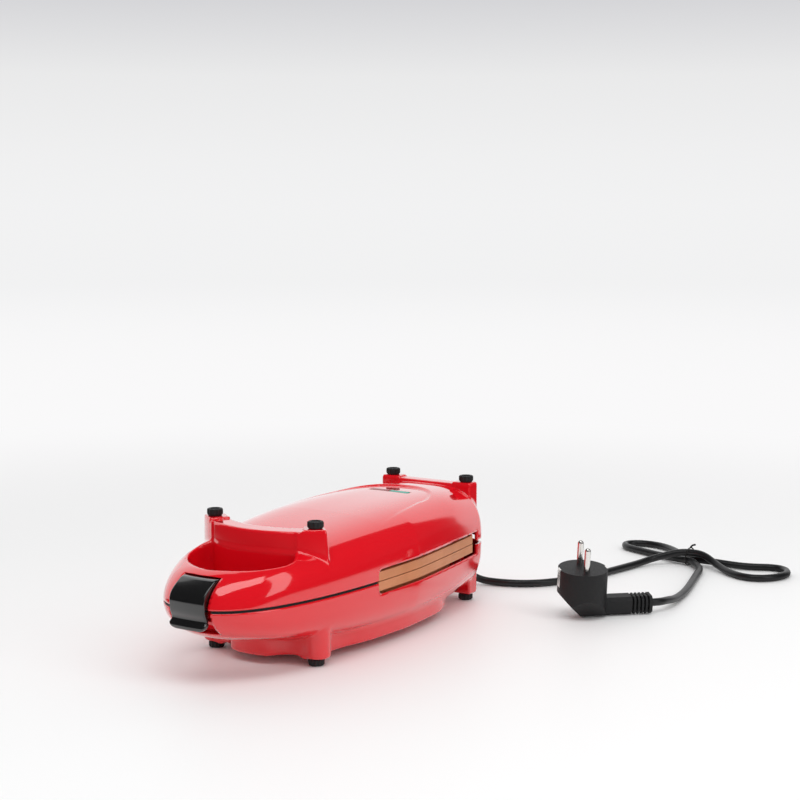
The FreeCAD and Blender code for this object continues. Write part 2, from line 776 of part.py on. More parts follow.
LEAD_ROUTE = [
    (12, 160, 17.5), (12, 169.5, 17.5), (12.8, 179.5, 13.2), (15.5, 187, 7.2), (22, 192, 3.7), (32, 194.5, 3),
    (45, 197.5, 3), (58, 204, 3), (71, 218, 3), (83, 241, 3), (92, 268, 3), (97.5, 297, 3),
    (102.5, 322, 3), (109.2, 337.5, 5.4), (118, 344, 8)]
HANK_ROUTE = [
    (118, 344, 8), (126.8, 350.5, 10.6), (138, 354, 11.5), (150, 353.5, 10.9), (161.5, 348.5, 6.3),
    (173, 340, 3.5), (185, 330, 3), (197, 323.5, 3), (208.5, 323.5, 3), (218, 330.5, 3), (224.5, 343, 3),
    (225, 357.5, 3), (217, 369.5, 3), (205, 370.5, 3), (193, 364, 3), (180.5, 360.5, 3.2), (166.5, 358.5, 4),
    (151.5, 357.8, 4.6), (137.5, 357.5, 4.6), (125, 367.5, 4.4), (112, 384, 3.6), (98, 397.5, 3), (82, 404, 3),
    (66, 402, 3), (57.5, 391.5, 3), (64, 380.5, 3), (79, 373.5, 3), (99, 366, 3), (122, 356.5, 3.8),
    (141, 350.4, 4.6), (149, 340, 4.1)]
TAIL_ROUTE = [
    (149, 340, 4.1), (157.4, 329.1, 3.6), (163, 305, 3), (170.5, 277, 3), (177, 250, 3), (180.8, 227, 3.4),
    (183, 211, 5), (183.3, 198.5, 7)]
PLUG_ORIGIN = Vector(135.8, 143.9, 0)
ARM_LENGTH = 55
ARM_HEIGHT = 7.6


def plug_frame():
    """The plug lies on its back, pins up, its arm turned to the rear and tilted a little."""
    turn = Rotation(Vector(0, 0, 1), size("plug_turn"))
    tilt = Rotation(Vector(1, 0, 0), size("plug_tilt"))
    return Placement(PLUG_ORIGIN, turn * tilt)


def plug_blank():
    """The moulded body: a round head, cut slanting below, and a flat-sided arm."""
    radius = size("plug_radius")
    high = size("plug_height")
    head = Part.makeCylinder(radius, high)
    side_view = [(-radius, high), (-radius, 19), (-1, 0), (60, 0), (60, high)]
    outline = Part.makePolygon([Vector(x, -30, z) for x, z in side_view + side_view[:1]])
    head = head.common(Part.Face(outline).extrude(Vector(0, 60, 0)))
    front_view = [(-radius, high), (-radius, 17), (-8, 2), (-4, 0),
                  (4, 0), (8, 2), (radius, 17), (radius, high)]
    outline = Part.makePolygon([Vector(-30, y, z) for y, z in front_view + front_view[:1]])
    head = head.common(Part.Face(outline).extrude(Vector(90, 0, 0)))
    return head.fuse(plug_arm(0, 37))


def plug_arm(start, end):
    """A stretch of the arm, octagonal in section."""
    half = 7
    cut = 2.6
    flat = half - cut
    section = [(-half, -flat), (-flat, -half), (flat, -half), (half, -flat),
               (half, flat), (flat, half), (-flat, half), (-half, flat)]
    corners = [Vector(start, y, ARM_HEIGHT + z) for y, z in section + section[:1]]
    face = Part.Face(Part.makePolygon(corners))
    return face.extrude(Vector(end - start, 0, 0))


def plug_relief():
    """The ribbed end of the arm: five grooves round it, the cord leaving at its centre."""
    relief = plug_arm(37, ARM_LENGTH)
    core = Part.makeCylinder(5.2, ARM_LENGTH, Vector(0, 0, ARM_HEIGHT), Vector(1, 0, 0))
    for i in range(5):
        groove = Part.makeBox(1.6, 30, 30, Vector(38.6 + 3.1 * i, -15, ARM_HEIGHT - 15))
        relief = relief.cut(groove.cut(core))
    return relief


def plug_pin_places():
    return [size("plug_pin_spacing") / 2 * s for s in (-1, 1)]


def plug_pins():
    radius = size("plug_pin_radius")
    length = size("plug_pin_length")
    high = size("plug_height")
    solids = []
    for y in plug_pin_places():
        straight = Part.makeCylinder(radius, length - radius, Vector(0, y, high))
        tip = Part.makeSphere(radius, Vector(0, y, high + length - radius))
        solids.append(straight.fuse(tip))
    return Part.makeCompound(solids)


def earth_contacts():
    """A spring strip let into each end of the plug's head."""
    reach = size("plug_radius") - 0.6
    low = size("plug_height") - 14
    return Part.makeCompound([Part.makeBox(1.2, 6, 14, Vector(s * reach - 0.6, -3, low)) for s in (-1, 1)])


TIE_HEART = Vector(138, 354, 0)
TIE_ALONG = Vector(0.91, -0.42, 0).normalize()
TIE_STRANDS = [(-2.7, 4.7), (4.7, 4.7), (-0.5, 11.3)]


def tie():
    """A wire drawn round the three strands, its ends twisted into a short tail."""
    across = Vector(-TIE_ALONG.y, TIE_ALONG.x, 0)
    up = Vector(0, 0, 1)
    reach = size("cord_radius") + 1.15
    centres = [TIE_HEART + across * side + up * height for side, height in TIE_STRANDS]
    starts = []
    ends = []
    for here, there in zip(centres, centres[1:] + centres[:1]):
        outward = (there - here).normalize().cross(TIE_ALONG)
        starts.append(here + outward * reach)
        ends.append(there + outward * reach)
    edges = []
    for i, centre in enumerate(centres):
        edges.append(Part.makeLine(starts[i - 1], ends[i - 1]))
        bow = (ends[i - 1] - centre + starts[i] - centre).normalize() * reach
        edges.append(Part.Arc(ends[i - 1], centre + bow, starts[i]).toShape())
    loop = Part.Wire(Part.__sortEdges__(edges))
    first = loop.Edges[0]
    profile = Part.Wire(Part.makeCircle(0.5, first.Vertexes[0].Point, first.tangentAt(first.FirstParameter)))
    ring = loop.makePipeShell([profile], True, False)
    top = centres[-1] + up * reach
    ends = [top, top + TIE_ALONG * 2 + up * 2.5, top + TIE_ALONG * 5 + across + up * 3.5]
    return ring.fuse(tube(ends, 0.8))


def least_gap(wire, radius):
    """The smallest gap of a tube to itself, measured between points that lie apart along it."""
    points = wire.discretize(Distance=1.5)
    skip = int(math.pi * 2 * radius / 1.5) + 4
    gap = min(a.distanceToPoint(b) for i, a in enumerate(points) for b in points[i + skip:])
    return gap - 2 * radius


# Turned, padded and drilled bodies.

def expression(alias):
    return "Sizes." + alias


def number(text):
    return float(sheet.evalExpression(text)) if isinstance(text, str) else text


def new_sketch(body, role, lift=None):
    sketch = body.newObject("Sketcher::SketchObject", body.Name + "_sketch")
    plane = next(f for f in body.Origin.OriginFeatures if f.Role == role)
    sketch.AttachmentSupport = [(plane, "")]
    sketch.MapMode = "FlatFace"
    if lift is not None:
        sketch.AttachmentOffset = Placement(Vector(0, 0, number(lift)), Rotation())
        if isinstance(lift, str):
            sketch.setExpression("AttachmentOffset.Base.z", lift)
    return sketch


def hold_point(sketch, index, vertex, corner):
    """Fix a sketch point by its distances from the origin, which follow the sheet."""
    for kind, axis, text in (("DistanceX", -2, corner[0]), ("DistanceY", -1, corner[1])):
        amount = number(text)
        if abs(amount) < 1e-9:
            sketch.addConstraint(Sketcher.Constraint("PointOnObject", index, vertex, axis))
            continue
        row = sketch.addConstraint(Sketcher.Constraint(kind, -1, 1, index, vertex, amount))
        if isinstance(text, str):
            sketch.setExpression("Constraints[%d]" % row, text)


def draw_polygon(sketch, corners):
    points = [Vector(number(x), number(y), 0) for x, y in corners]
    first = sketch.GeometryCount
    for i, point in enumerate(points):
        sketch.addGeometry(Part.LineSegment(point, points[(i + 1) % len(points)]))
    for i, corner in enumerate(corners):
        before = first + (i - 1) % len(corners)
        sketch.addConstraint(Sketcher.Constraint("Coincident", before, 2, first + i, 1))
        hold_point(sketch, first + i, 1, corner)


def draw_circles(sketch, centres, radius):
    for centre in centres:
        point = Vector(number(centre[0]), number(centre[1]), 0)
        index = sketch.addGeometry(Part.Circle(point, Vector(0, 0, 1), number(radius)))
        hold_point(sketch, index, 3, centre)
        row = sketch.addConstraint(Sketcher.Constraint("Radius", index, number(radius)))
        if isinstance(radius, str):
            sketch.setExpression("Constraints[%d]" % row, radius)


def new_body(label):
    body = doc.addObject("PartDesign::Body", label)
    return node(label, body)


def pad(body, sketch, length):
    step = body.newObject("PartDesign::Pad", body.Name + "_pad")
    step.Profile = sketch
    step.Length = number(length)
    if isinstance(length, str):
        step.setExpression("Length", length)
    doc.recompute()
    return step


def pocket(body, sketch, length):
    before = body.Shape.Volume
    step = body.newObject("PartDesign::Pocket", body.Name + "_pocket")
    step.Profile = sketch
    step.Length = number(length)
    if isinstance(length, str):
        step.setExpression("Length", length)
    doc.recompute()
    if body.Shape.Volume > before - 0.01:
        raise ValueError("a pocket of %s cuts nothing" % body.Label)
    return step


def turned_body(label, corners):
    """A body turned about its upright axis from a profile of (out, up) corners."""
    body = new_body(label)
    sketch = new_sketch(body, "XZ_Plane")
    draw_polygon(sketch, corners)
    step = body.newObject("PartDesign::Revolution", body.Name + "_turn")
    step.Profile = sketch
    step.ReferenceAxis = (sketch, ["V_Axis"])
    step.Angle = 360
    doc.recompute()
    return body


def half_placement(half, x, y, rise):
    """Stand a body on a rise of either half; in the lower one it hangs head down."""
    if half == "upper":
        return Placement(Vector(x, y, SEAM + rise), Rotation())
    return Placement(Vector(x, y, SEAM - rise), Rotation(Vector(0, 1, 0), 180))


def foot(half, corner):
    side, x_alias, y_alias = FEET[corner]
    radius = expression("foot_radius")
    high = expression("foot_height")
    profile = [(0, 0), (radius, 0), (radius + " * 0.96", high + " - 0.6"), (radius + " - 0.9", high), (0, high)]
    body = turned_body("%s_foot_%s" % (half, corner), profile)
    recess = new_sketch(body, "XY_Plane", high)
    draw_circles(recess, [(0, 0)], 3.1)
    pocket(body, recess, 3)
    hole = new_sketch(body, "XY_Plane", high)
    draw_circles(hole, [(0, 0)], THREAD_HOLE)
    pocket(body, hole, 7)
    cross = new_sketch(body, "XY_Plane", high)
    arm = 0.6
    long = 8
    draw_polygon(cross, [(arm, arm), (long, arm), (long, -arm), (arm, -arm), (arm, -long), (-arm, -long),
                         (-arm, -arm), (-long, -arm), (-long, arm), (-arm, arm), (-arm, long), (arm, long)])
    pocket(body, cross, 0.8)
    body.Placement = half_placement(half, side * size(x_alias), size(y_alias), size("boss_rise"))
    turn = Rotation(Vector(0, 0, 1), 45)
    body.Placement = Placement(body.Placement.Base, body.Placement.Rotation * turn)


def heat_shield(half):
    body = new_body(half + "_shield")
    sketch = new_sketch(body, "XY_Plane")
    wide = expression("shield_half_width")
    front = expression("shield_front")
    back = expression("shield_back")
    cut = 12
    draw_polygon(sketch, [("-" + wide, front + " + %d" % cut), ("-" + wide + " + %d" % cut, front),
                          (wide + " - %d" % cut, front), (wide, front + " + %d" % cut),
                          (wide, back + " - %d" % cut), (wide + " - %d" % cut, back),
                          ("-" + wide + " + %d" % cut, back), ("-" + wide, back + " - %d" % cut)])
    pad(body, sketch, expression("shield_thickness"))
    holes = new_sketch(body, "XY_Plane", 5)
    draw_circles(holes, STUDS, 1.45)
    pocket(body, holes, 10)
    body.Placement = half_placement(half, 0, 0, size("shield_rise"))


def rear_cover(half):
    body = new_body(half + "_rear_cover")
    sketch = new_sketch(body, "XY_Plane")
    draw_polygon(sketch, [(-30, 124.2), (30, 124.2), (30, 143), (26, 147.3), (-26, 147.3), (-30, 143)])
    pad(body, sketch, 2)
    holes = new_sketch(body, "XY_Plane", 5)
    draw_circles(holes, COVER_SCREWS, THREAD_HOLE)
    pocket(body, holes, 10)
    body.Placement = half_placement(half, 0, 0, 2.2)


def thermostat(half):
    body = turned_body(half + "_thermostat", [(0, 0), (10, 0), (10, 1), (8, 1), (8, 6.4), (0, 6.4)])
    body.Placement = half_placement(half, 0, 20, size("plate_back"))


def thermal_fuse(half):
    fuse = doc.addObject("Part::Cylinder", half + "_fuse")
    fuse.Radius = 2
    fuse.Height = 16
    rise = size("plate_back") + 2
    side = 1 if half == "upper" else -1
    fuse.Placement = Placement(Vector(-8, 48, SEAM + side * rise), Rotation(Vector(0, 1, 0), 90))
    node(half + "_fuse", fuse)


def terminal_block():
    body = new_body("terminal_block")
    sketch = new_sketch(body, "XY_Plane")
    draw_polygon(sketch, [(0, 92.5), (24, 92.5), (24, 106), (0, 106)])
    floor = SEAM - size("tub_rise") + size("wall")
    high = 21.9 - floor
    pad(body, sketch, high)
    wells = new_sketch(body, "XY_Plane", high)
    draw_circles(wells, [(x, 103) for x in (4, 12, 20)], 1.8)
    pocket(body, wells, 3)
    body.Placement = Placement(Vector(0, 0, floor), Rotation())


def cord_clamp():
    body = new_body("cord_clamp")
    sketch = new_sketch(body, "XZ_Plane")
    floor = SEAM - size("tub_rise") + size("wall")
    draw_polygon(sketch, [(5, floor), (19, floor), (19, 21), (16, 23.5), (8, 23.5), (5, 21)])
    step = pad(body, sketch, 4.5)
    step.Reversed = True
    doc.recompute()
    bore = new_sketch(body, "XZ_Plane", 5)
    draw_circles(bore, [(expression("cord_side"), expression("cord_height"))], expression("cord_radius"))
    pocket(body, bore, 20)
    body.Placement = Placement(Vector(0, 107.5, 0), Rotation())


def lens(label, side):
    """A coloured bar in the panel, with a flange under the shell."""
    body = new_body(label)
    half_depth = size("lens_depth") / 2
    near = 0.4 * side
    far = size("lens_half_width") * side
    ledge = far + 1.6 * side
    flange = new_sketch(body, "XY_Plane")
    draw_polygon(flange, [(near, -half_depth - 1.5), (ledge, -half_depth - 1.5), (ledge, half_depth + 1.5),
                          (near, half_depth + 1.5)])
    pad(body, flange, 1.6)
    window_bar = new_sketch(body, "XY_Plane")
    draw_polygon(window_bar, [(near, -half_depth), (far, -half_depth), (far, half_depth), (near, half_depth)])
    pad(body, window_bar, 4)
    body.Placement = half_placement("upper", 0, size("lens_place"), 39.4)


def lamps():
    solids = [bar_along_x(size("lens_place"), 36.5, 2.5, x, x + 12) for x in (-15, 3)]
    return Part.makeCompound(solids)


def lamp_holder():
    body = new_body("lamp_holder")
    sketch = new_sketch(body, "XZ_Plane")
    draw_polygon(sketch, [(-22, 0), (22, 0), (22, 8.4), (20.6, 8.4),
                          (20.6, 1.6), (-20.6, 1.6), (-20.6, 8.4), (-22, 8.4)])
    pad(body, sketch, 10)
    body.Placement = half_placement("upper", 0, size("lens_place") + 5, 32.4)


def hinge_pin():
    """A hollow pin through all knuckles, which lets the wires pass to the lid."""
    length = 2 * size("lug_outer")
    rod = doc.addObject("Part::Cylinder", "hinge_rod")
    rod.setExpression("Radius", expression("hinge_pin_radius"))
    rod.setExpression("Height", "2 * " + expression("lug_outer"))
    bore = doc.addObject("Part::Cylinder", "hinge_bore")
    bore.Radius = 1.2
    bore.Height = length
    pin = doc.addObject("Part::Cut", "hinge_pin")
    pin.Base = rod
    pin.Tool = bore
    pin.Placement = Placement(Vector(-length / 2, size("hinge_place"), SEAM), Rotation(Vector(0, 1, 0), 90))
    node("hinge_pin", pin)


def latch_pin():
    pin = doc.addObject("Part::Cylinder", "latch_pin")
    pin.setExpression("Radius", expression("latch_pin_radius"))
    pin.Height = 42
    base = Vector(-21, size("latch_pivot_place"), SEAM + size("latch_pivot_rise"))
    pin.Placement = Placement(base, Rotation(Vector(0, 1, 0), 90))
    node("latch_pin", pin)


def cord_pieces():
    radius = size("cord_radius")
    place = plug_frame()
    body = plug_blank()
    body.Placement = place
    lift = Vector(0, 0, 0.02 - body.optimalBoundingBox(False).ZMin)
    place = Placement(place.Base + lift, place.Rotation)
    exit_point = place.multVec(Vector(ARM_LENGTH, 0, ARM_HEIGHT))
    along = place.Rotation.multVec(Vector(1, 0, 0))
    tail = TAIL_ROUTE + [tuple(exit_point + along * 8), tuple(exit_point)]
    feature("cord_lead", tube(LEAD_ROUTE, radius, "cord_lead"))
    feature("cord_hank", tube(HANK_ROUTE, radius, "cord_hank"))
    feature("cord_tail", tube(tail, radius, "cord_tail"))
    feature("cord_tie", tie())
    path = rounded_path([Vector(*p) for p in HANK_ROUTE])
    print("cord_hank: least gap to itself %.2f mm" % least_gap(path, radius))
    for label, shape in (("plug_body", plug_blank().cut(earth_contacts())), ("plug_relief", plug_relief()),
                         ("plug_pins", plug_pins()), ("plug_earth_contacts", earth_contacts())):
        feature(label, shape, place)


frame_hull = hull(-size("wall") - 0.4, -145.5, size("rear_back") - size("wall") - 0.4)

for name in HALVES:
    feature(name + "_shell", hull_shell(name))
    feature(name + "_frame", frame(name))
    feature(name + "_plate", plate(name))
    feature(name + "_heater", heater(name))
    feature(name + "_shield_studs", shield_studs(name))
    feature(name + "_plate_screws", plate_screws(name))
    feature(name + "_frame_screws", frame_screws(name))
    feature(name + "_foot_screws", foot_screws(name))
    feature(name + "_wiring", wiring(name))
    heat_shield(name)
    rear_cover(name)
    thermostat(name)
    thermal_fuse(name)
    for corner_name in FEET:
        foot(name, corner_name)
terminal_block()
cord_clamp()
feature("cord_gland", gland())
feature("cord_inner", inner_cord())
hinge_pin()
lens("lens_red", -1)
lens("lens_green", 1)
feature("lamps", lamps())
lamp_holder()
feature("latch", latch())
latch_pin()
cord_pieces()

doc.recompute()
for obj in doc.Objects:
    if "Invalid" in obj.State or "Error" in obj.State:
        raise ValueError("%s failed: %s" % (obj.Label, obj.State))
for obj in nodes:
    if obj.Shape.isNull() or not obj.Shape.isValid():
        raise ValueError("%s has no valid shape" % obj.Label)
os.makedirs("parts", exist_ok=True)
for obj in nodes:
    bounds = obj.Shape.optimalBoundingBox(False)
    print("%-26s %2d solids, volume %9.0f, x %.1f %.1f, y %.1f %.1f, z %.1f %.1f" % (
        obj.Label, len(obj.Shape.Solids), obj.Shape.Volume, bounds.XMin, bounds.XMax, bounds.YMin, bounds.YMax,
        bounds.ZMin, bounds.ZMax))
    obj.Shape.exportStep("parts/" + obj.Label + ".step")
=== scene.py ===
import json
import math

import bpy
import numpy as np
from mathutils import Euler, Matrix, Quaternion, Vector


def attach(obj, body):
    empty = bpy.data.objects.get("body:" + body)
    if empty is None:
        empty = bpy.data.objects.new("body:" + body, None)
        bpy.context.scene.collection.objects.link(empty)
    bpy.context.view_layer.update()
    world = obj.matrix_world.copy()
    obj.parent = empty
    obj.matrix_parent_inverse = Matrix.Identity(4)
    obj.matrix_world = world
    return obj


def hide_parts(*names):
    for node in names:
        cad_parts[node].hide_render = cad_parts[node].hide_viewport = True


# Double-sided electric skillet on a white sweep. Metres, +Z up, the nose at -Y, the hinge at +Y.

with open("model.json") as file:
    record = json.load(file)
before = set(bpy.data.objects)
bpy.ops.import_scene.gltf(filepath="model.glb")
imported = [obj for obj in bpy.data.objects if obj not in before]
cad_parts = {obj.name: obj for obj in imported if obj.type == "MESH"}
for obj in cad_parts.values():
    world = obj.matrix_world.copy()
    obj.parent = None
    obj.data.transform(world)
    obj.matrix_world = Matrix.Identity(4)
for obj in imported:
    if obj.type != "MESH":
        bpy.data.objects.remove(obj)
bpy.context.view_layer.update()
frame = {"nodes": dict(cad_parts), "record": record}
nodes = frame["nodes"]
scene = bpy.context.scene


def photo_camera():
    """The camera at the photograph's viewing angle."""
    data = bpy.data.cameras.new("photo_camera")
    data.lens = 72.76
    data.sensor_width = 36
    camera = bpy.data.objects.new("photo_camera", data)
    camera.location = (0.6758, -0.9505, 0.3119)
    camera.rotation_euler = Euler((math.radians(90 - 6.839), 0, math.radians(32.787)))
    scene.collection.objects.link(camera)
    scene.camera = camera


# The mains lead: one spline from the gland, through the tied hank, to the plug.

LEAD_POINTS = [
    (.012, .160, .0175), (.012, .1695, .0175), (.0128, .1795, .0132), (.0155, .187, .0072),
    (.022, .192, .0037), (.032, .1945, .003), (.045, .1975, .003), (.058, .204, .003),
    (.071, .218, .003), (.083, .241, .003), (.092, .268, .003), (.0975, .297, .003),
    (.1025, .322, .003), (.1092, .3375, .0054), (.118, .344, .008)]
HANK_POINTS = [
    (.1268, .3505, .0106), (.138, .354, .0115), (.150, .3535, .0109), (.1615, .3485, .0063),
    (.173, .340, .0035), (.185, .330, .003), (.197, .3235, .003), (.2085, .3235, .003),
    (.218, .3305, .003), (.2245, .343, .003), (.225, .3575, .003), (.217, .3695, .003),
    (.205, .3705, .003), (.193, .364, .003), (.1805, .3605, .0032), (.1665, .3585, .004),
    (.1515, .3578, .0046), (.1375, .3575, .0046), (.125, .3675, .0044), (.112, .384, .0036),
    (.098, .3975, .003), (.082, .404, .003), (.066, .402, .003), (.0575, .3915, .003),
    (.064, .3805, .003), (.079, .3735, .003), (.099, .366, .003), (.122, .3565, .0038),
    (.141, .3504, .0046)]
TAIL_POINTS = [
    (.149, .340, .0041), (.1574, .3291, .0036), (.163, .305, .003), (.1705, .277, .003),
    (.177, .250, .003), (.1808, .227, .0034), (.183, .211, .005), (.1833, .1985, .007)]
CORD_RADIUS = .003


def relief_mouth():
    """Where the cord enters the plug's arm, and the direction back along the arm."""
    arm = Vector((math.cos(math.radians(43)), math.sin(math.radians(43)), 0))
    points = np.array([v.co for v in nodes["plug_relief"].data.vertices])
    along = points @ np.array(arm)
    end = points[along > along.max() - .0005]
    return Vector(end.mean(0)), arm


def mains_lead(material):
    """The cord as one smooth curve, from its gland into the plug's arm."""
    mouth, arm = relief_mouth()
    points = LEAD_POINTS + HANK_POINTS + TAIL_POINTS + [tuple(mouth + arm * .008), tuple(mouth)]
    curve = bpy.data.curves.new("mains_lead", "CURVE")
    curve.dimensions = "3D"
    spline = curve.splines.new("NURBS")
    spline.points.add(len(points) - 1)
    for point, place in zip(spline.points, points):
        point.co = (*place, 1)
    spline.order_u = 3
    spline.use_endpoint_u = True
    spline.resolution_u = 8
    curve.bevel_depth = CORD_RADIUS
    curve.bevel_resolution = 5
    curve.use_fill_caps = True
    curve.materials.append(material)
    lead = bpy.data.objects.new("mains_lead", curve)
    scene.collection.objects.link(lead)
    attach(lead, "base")
    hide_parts("cord_lead", "cord_hank", "cord_tail")


# Shared effects: node groups that give masks, heights and colours.

def new_group(name, inputs, outputs):
    group = bpy.data.node_groups.new(name, "ShaderNodeTree")
    for label, kind, value in inputs:
        socket = group.interface.new_socket(label, in_out="INPUT", socket_type=kind)
        socket.default_value = value
    for label, kind in outputs:
        group.interface.new_socket(label, in_out="OUTPUT", socket_type=kind)
    return group, group.nodes.new("NodeGroupInput"), group.nodes.new("NodeGroupOutput")


def object_noise(group, scale, detail, stretch=None):
    """A noise on the piece's own coordinates; scale is a socket or a number."""
    place = group.nodes.new("ShaderNodeTexCoord")
    noise = group.nodes.new("ShaderNodeTexNoise")
    noise.inputs["Detail"].default_value = detail
    source = place.outputs["Object"]
    if stretch:
        mapping = group.nodes.new("ShaderNodeMapping")
        mapping.inputs["Scale"].default_value = stretch
        group.links.new(source, mapping.inputs["Vector"])
        source = mapping.outputs["Vector"]
    group.links.new(source, noise.inputs["Vector"])
    if isinstance(scale, (int, float)):
        noise.inputs["Scale"].default_value = scale
    else:
        group.links.new(scale, noise.inputs["Scale"])
    return noise.outputs["Fac"]


def spread(group, value, low, high):
    """Map a 0.3 to 0.7 noise onto the range low to high; both may be sockets."""
    ranged = group.nodes.new("ShaderNodeMapRange")
    ranged.inputs["From Min"].default_value = .3
    ranged.inputs["From Max"].default_value = .7
    group.links.new(value, ranged.inputs["Value"])
    for name, bound in (("To Min", low), ("To Max", high)):
        if isinstance(bound, (int, float)):
            ranged.inputs[name].default_value = bound
        else:
            group.links.new(bound, ranged.inputs[name])
    return ranged.outputs["Result"]


def gloss_wear_group():
    """Moulded gloss: a roughness that drifts with handling, and the skin's slow ripple."""
    group, given, result = new_group(
        "handled_gloss", [("Clean", "NodeSocketFloat", .1), ("Smeared", "NodeSocketFloat", .2)],
        [("Roughness", "NodeSocketFloat"), ("Height", "NodeSocketFloat")])
    smear = object_noise(group, 14, 3)
    group.links.new(spread(group, smear, given.outputs["Clean"], given.outputs["Smeared"]),
                    result.inputs["Roughness"])
    group.links.new(object_noise(group, 90, 1), result.inputs["Height"])
    return group


def grain_group(name, detail, stretch=None):
    """A fine height, and a roughness that follows it; a stretch draws the grain out into lines."""
    group, given, result = new_group(
        name, [("Scale", "NodeSocketFloat", 900), ("Low", "NodeSocketFloat", .4),
               ("High", "NodeSocketFloat", .6)],
        [("Height", "NodeSocketFloat"), ("Roughness", "NodeSocketFloat")])
    grain = object_noise(group, given.outputs["Scale"], detail, stretch)
    group.links.new(grain, result.inputs["Height"])
    group.links.new(spread(group, grain, given.outputs["Low"], given.outputs["High"]),
                    result.inputs["Roughness"])
    return group


def drift_group():
    """Two tones of one colour, mixed by a slow noise."""
    group, given, result = new_group(
        "tone_drift", [("Scale", "NodeSocketFloat", 30),
                       ("First", "NodeSocketColor", (1, 1, 1, 1)),
                       ("Second", "NodeSocketColor", (.8, .8, .8, 1))],
        [("Color", "NodeSocketColor")])
    mix = group.nodes.new("ShaderNodeMix")
    mix.data_type = "RGBA"
    noise = object_noise(group, given.outputs["Scale"], 4)
    group.links.new(spread(group, noise, 0, 1), mix.inputs["Factor"])
    group.links.new(given.outputs["First"], mix.inputs["A"])
    group.links.new(given.outputs["Second"], mix.inputs["B"])
    group.links.new(mix.outputs["Result"], result.inputs["Color"])
    return group


EFFECTS = {
    "gloss": gloss_wear_group(),
    "grain": grain_group("moulded_grain", 2),
    "drift": drift_group(),
    "drawn": grain_group("drawn_lines", 3, stretch=(1, .03, 1)),
}


def place_effect(material, name, **values):
    """A shared effect in a material, with its own values."""
    effect = material.node_tree.nodes.new("ShaderNodeGroup")
    effect.node_tree = EFFECTS[name]
    for label, value in values.items():
        effect.inputs[label].default_value = value
    return effect


def finish(name, colour, **sockets):
    """A new material and its shader; an underscore stands for a space in a socket's name."""
    material = bpy.data.materials.new(name)
    material.use_nodes = True
    shader = material.node_tree.nodes["Principled BSDF"]
    shader.inputs["Base Color"].default_value = (*colour, 1)
    for label, value in sockets.items():
        shader.inputs[label.replace("_", " ")].default_value = value
    return material, shader


def textured(material, shader, effect, strength, depth):
    """Give a shader an effect's roughness, and its height as a bump."""
    links = material.node_tree.links
    lift = material.node_tree.nodes.new("ShaderNodeBump")
    lift.inputs["Strength"].default_value = strength
    lift.inputs["Distance"].default_value = depth
    links.new(effect.outputs["Roughness"], shader.inputs["Roughness"])
    links.new(effect.outputs["Height"], lift.inputs["Height"])
    links.new(lift.outputs["Normal"], shader.inputs["Normal"])


def glossy_finish(name, colour, clean, smeared):
    material, shader = finish(name, colour, Coat_Weight=1, Coat_Roughness=.03)
    wear = place_effect(material, "gloss", Clean=clean, Smeared=smeared)
    textured(material, shader, wear, .02, .0004)
    return material


def grained_finish(name, colour, low, high, scale=900, strength=.25, depth=.0003, **sockets):
    material, shader = finish(name, colour, **sockets)
    grain = place_effect(material, "grain", Scale=scale, Low=low, High=high)
    textured(material, shader, grain, strength, depth)
    return material


def drawn_finish(name, colour, low, high, scale=700, strength=.15):
    material, shader = finish(name, colour, Metallic=1)
    lines = place_effect(material, "drawn", Scale=scale, Low=low, High=high)
    textured(material, shader, lines, strength, .0002)
    return material


def coated_plate_finish():
    """Copper-tone ceramic coating with brushed edges and two drifting tones."""
    light, dark = (.73, .29, .13), (.64, .24, .098)
    material, shader = finish("coated_plate", light,
                              Metallic=.2, Coat_Weight=.2, Coat_Roughness=.25)
    tone = place_effect(material, "drift", Scale=60, First=(*light, 1), Second=(*dark, 1))
    material.node_tree.links.new(tone.outputs["Color"], shader.inputs["Base Color"])
    lines = place_effect(material, "drawn", Scale=500, Low=.3, High=.5)
    textured(material, shader, lines, .2, .0002)
    return material


def lens_finish(name, colour):
    return grained_finish(name, colour, .12, .25, scale=500, strength=.1, depth=.0002,
                          Specular_IOR_Level=.12)


def all_finishes():
    """One material for each of the record's slots."""
    return {
        "red_gloss": glossy_finish("red_gloss", (.78, .004, .012), .08, .14),
        "latch_gloss": glossy_finish("latch_gloss", (.006, .006, .006), .12, .2),
        "black_plastic": grained_finish("black_plastic", (.012, .012, .012), .42, .6),
        "coated_plate": coated_plate_finish(),
        "heater_steel": drawn_finish("heater_steel", (.3, .29, .28), .3, .5),
        "shield_metal": drawn_finish("shield_metal", (.72, .73, .74), .25, .4, scale=400),
        "fastener_steel": drawn_finish("fastener_steel", (.6, .6, .61), .2, .35, scale=1200),
        "ceramic_white": grained_finish("ceramic_white", (.8, .79, .75), .3, .45,
                                        scale=500, strength=.1),
        "wire_cover": grained_finish("wire_cover", (.75, .74, .7), .45, .6,
                                     scale=1500, strength=.15),
        "foot_rubber": grained_finish("foot_rubber", (.011, .011, .012), .5, .7,
                                      scale=1400, strength=.35),
        "cord_rubber": grained_finish("cord_rubber", (.009, .009, .01), .3, .42,
                                      scale=1100, strength=.15, Specular_IOR_Level=.4),
        "pin_chrome": drawn_finish("pin_chrome", (.82, .8, .77), .12, .2,
                                   scale=900, strength=.05),
        "lens_red": lens_finish("lens_red", (.26, .006, .008)),
        "lens_green": lens_finish("lens_green", (.01, .36, .27)),
        "lamp_glass": grained_finish("lamp_glass", (.95, .9, .85), .02, .08,
                                     scale=400, strength=.05, depth=.0001,
                                     Transmission_Weight=.9, IOR=1.45),
        "tie_wire": grained_finish("tie_wire", (.01, .01, .01), .3, .45,
                                   scale=1500, strength=.2),
        "plug_plastic": grained_finish("plug_plastic", (.009, .009, .01), .45, .6,
                                       scale=1200, strength=.3, Specular_IOR_Level=.35),
    }


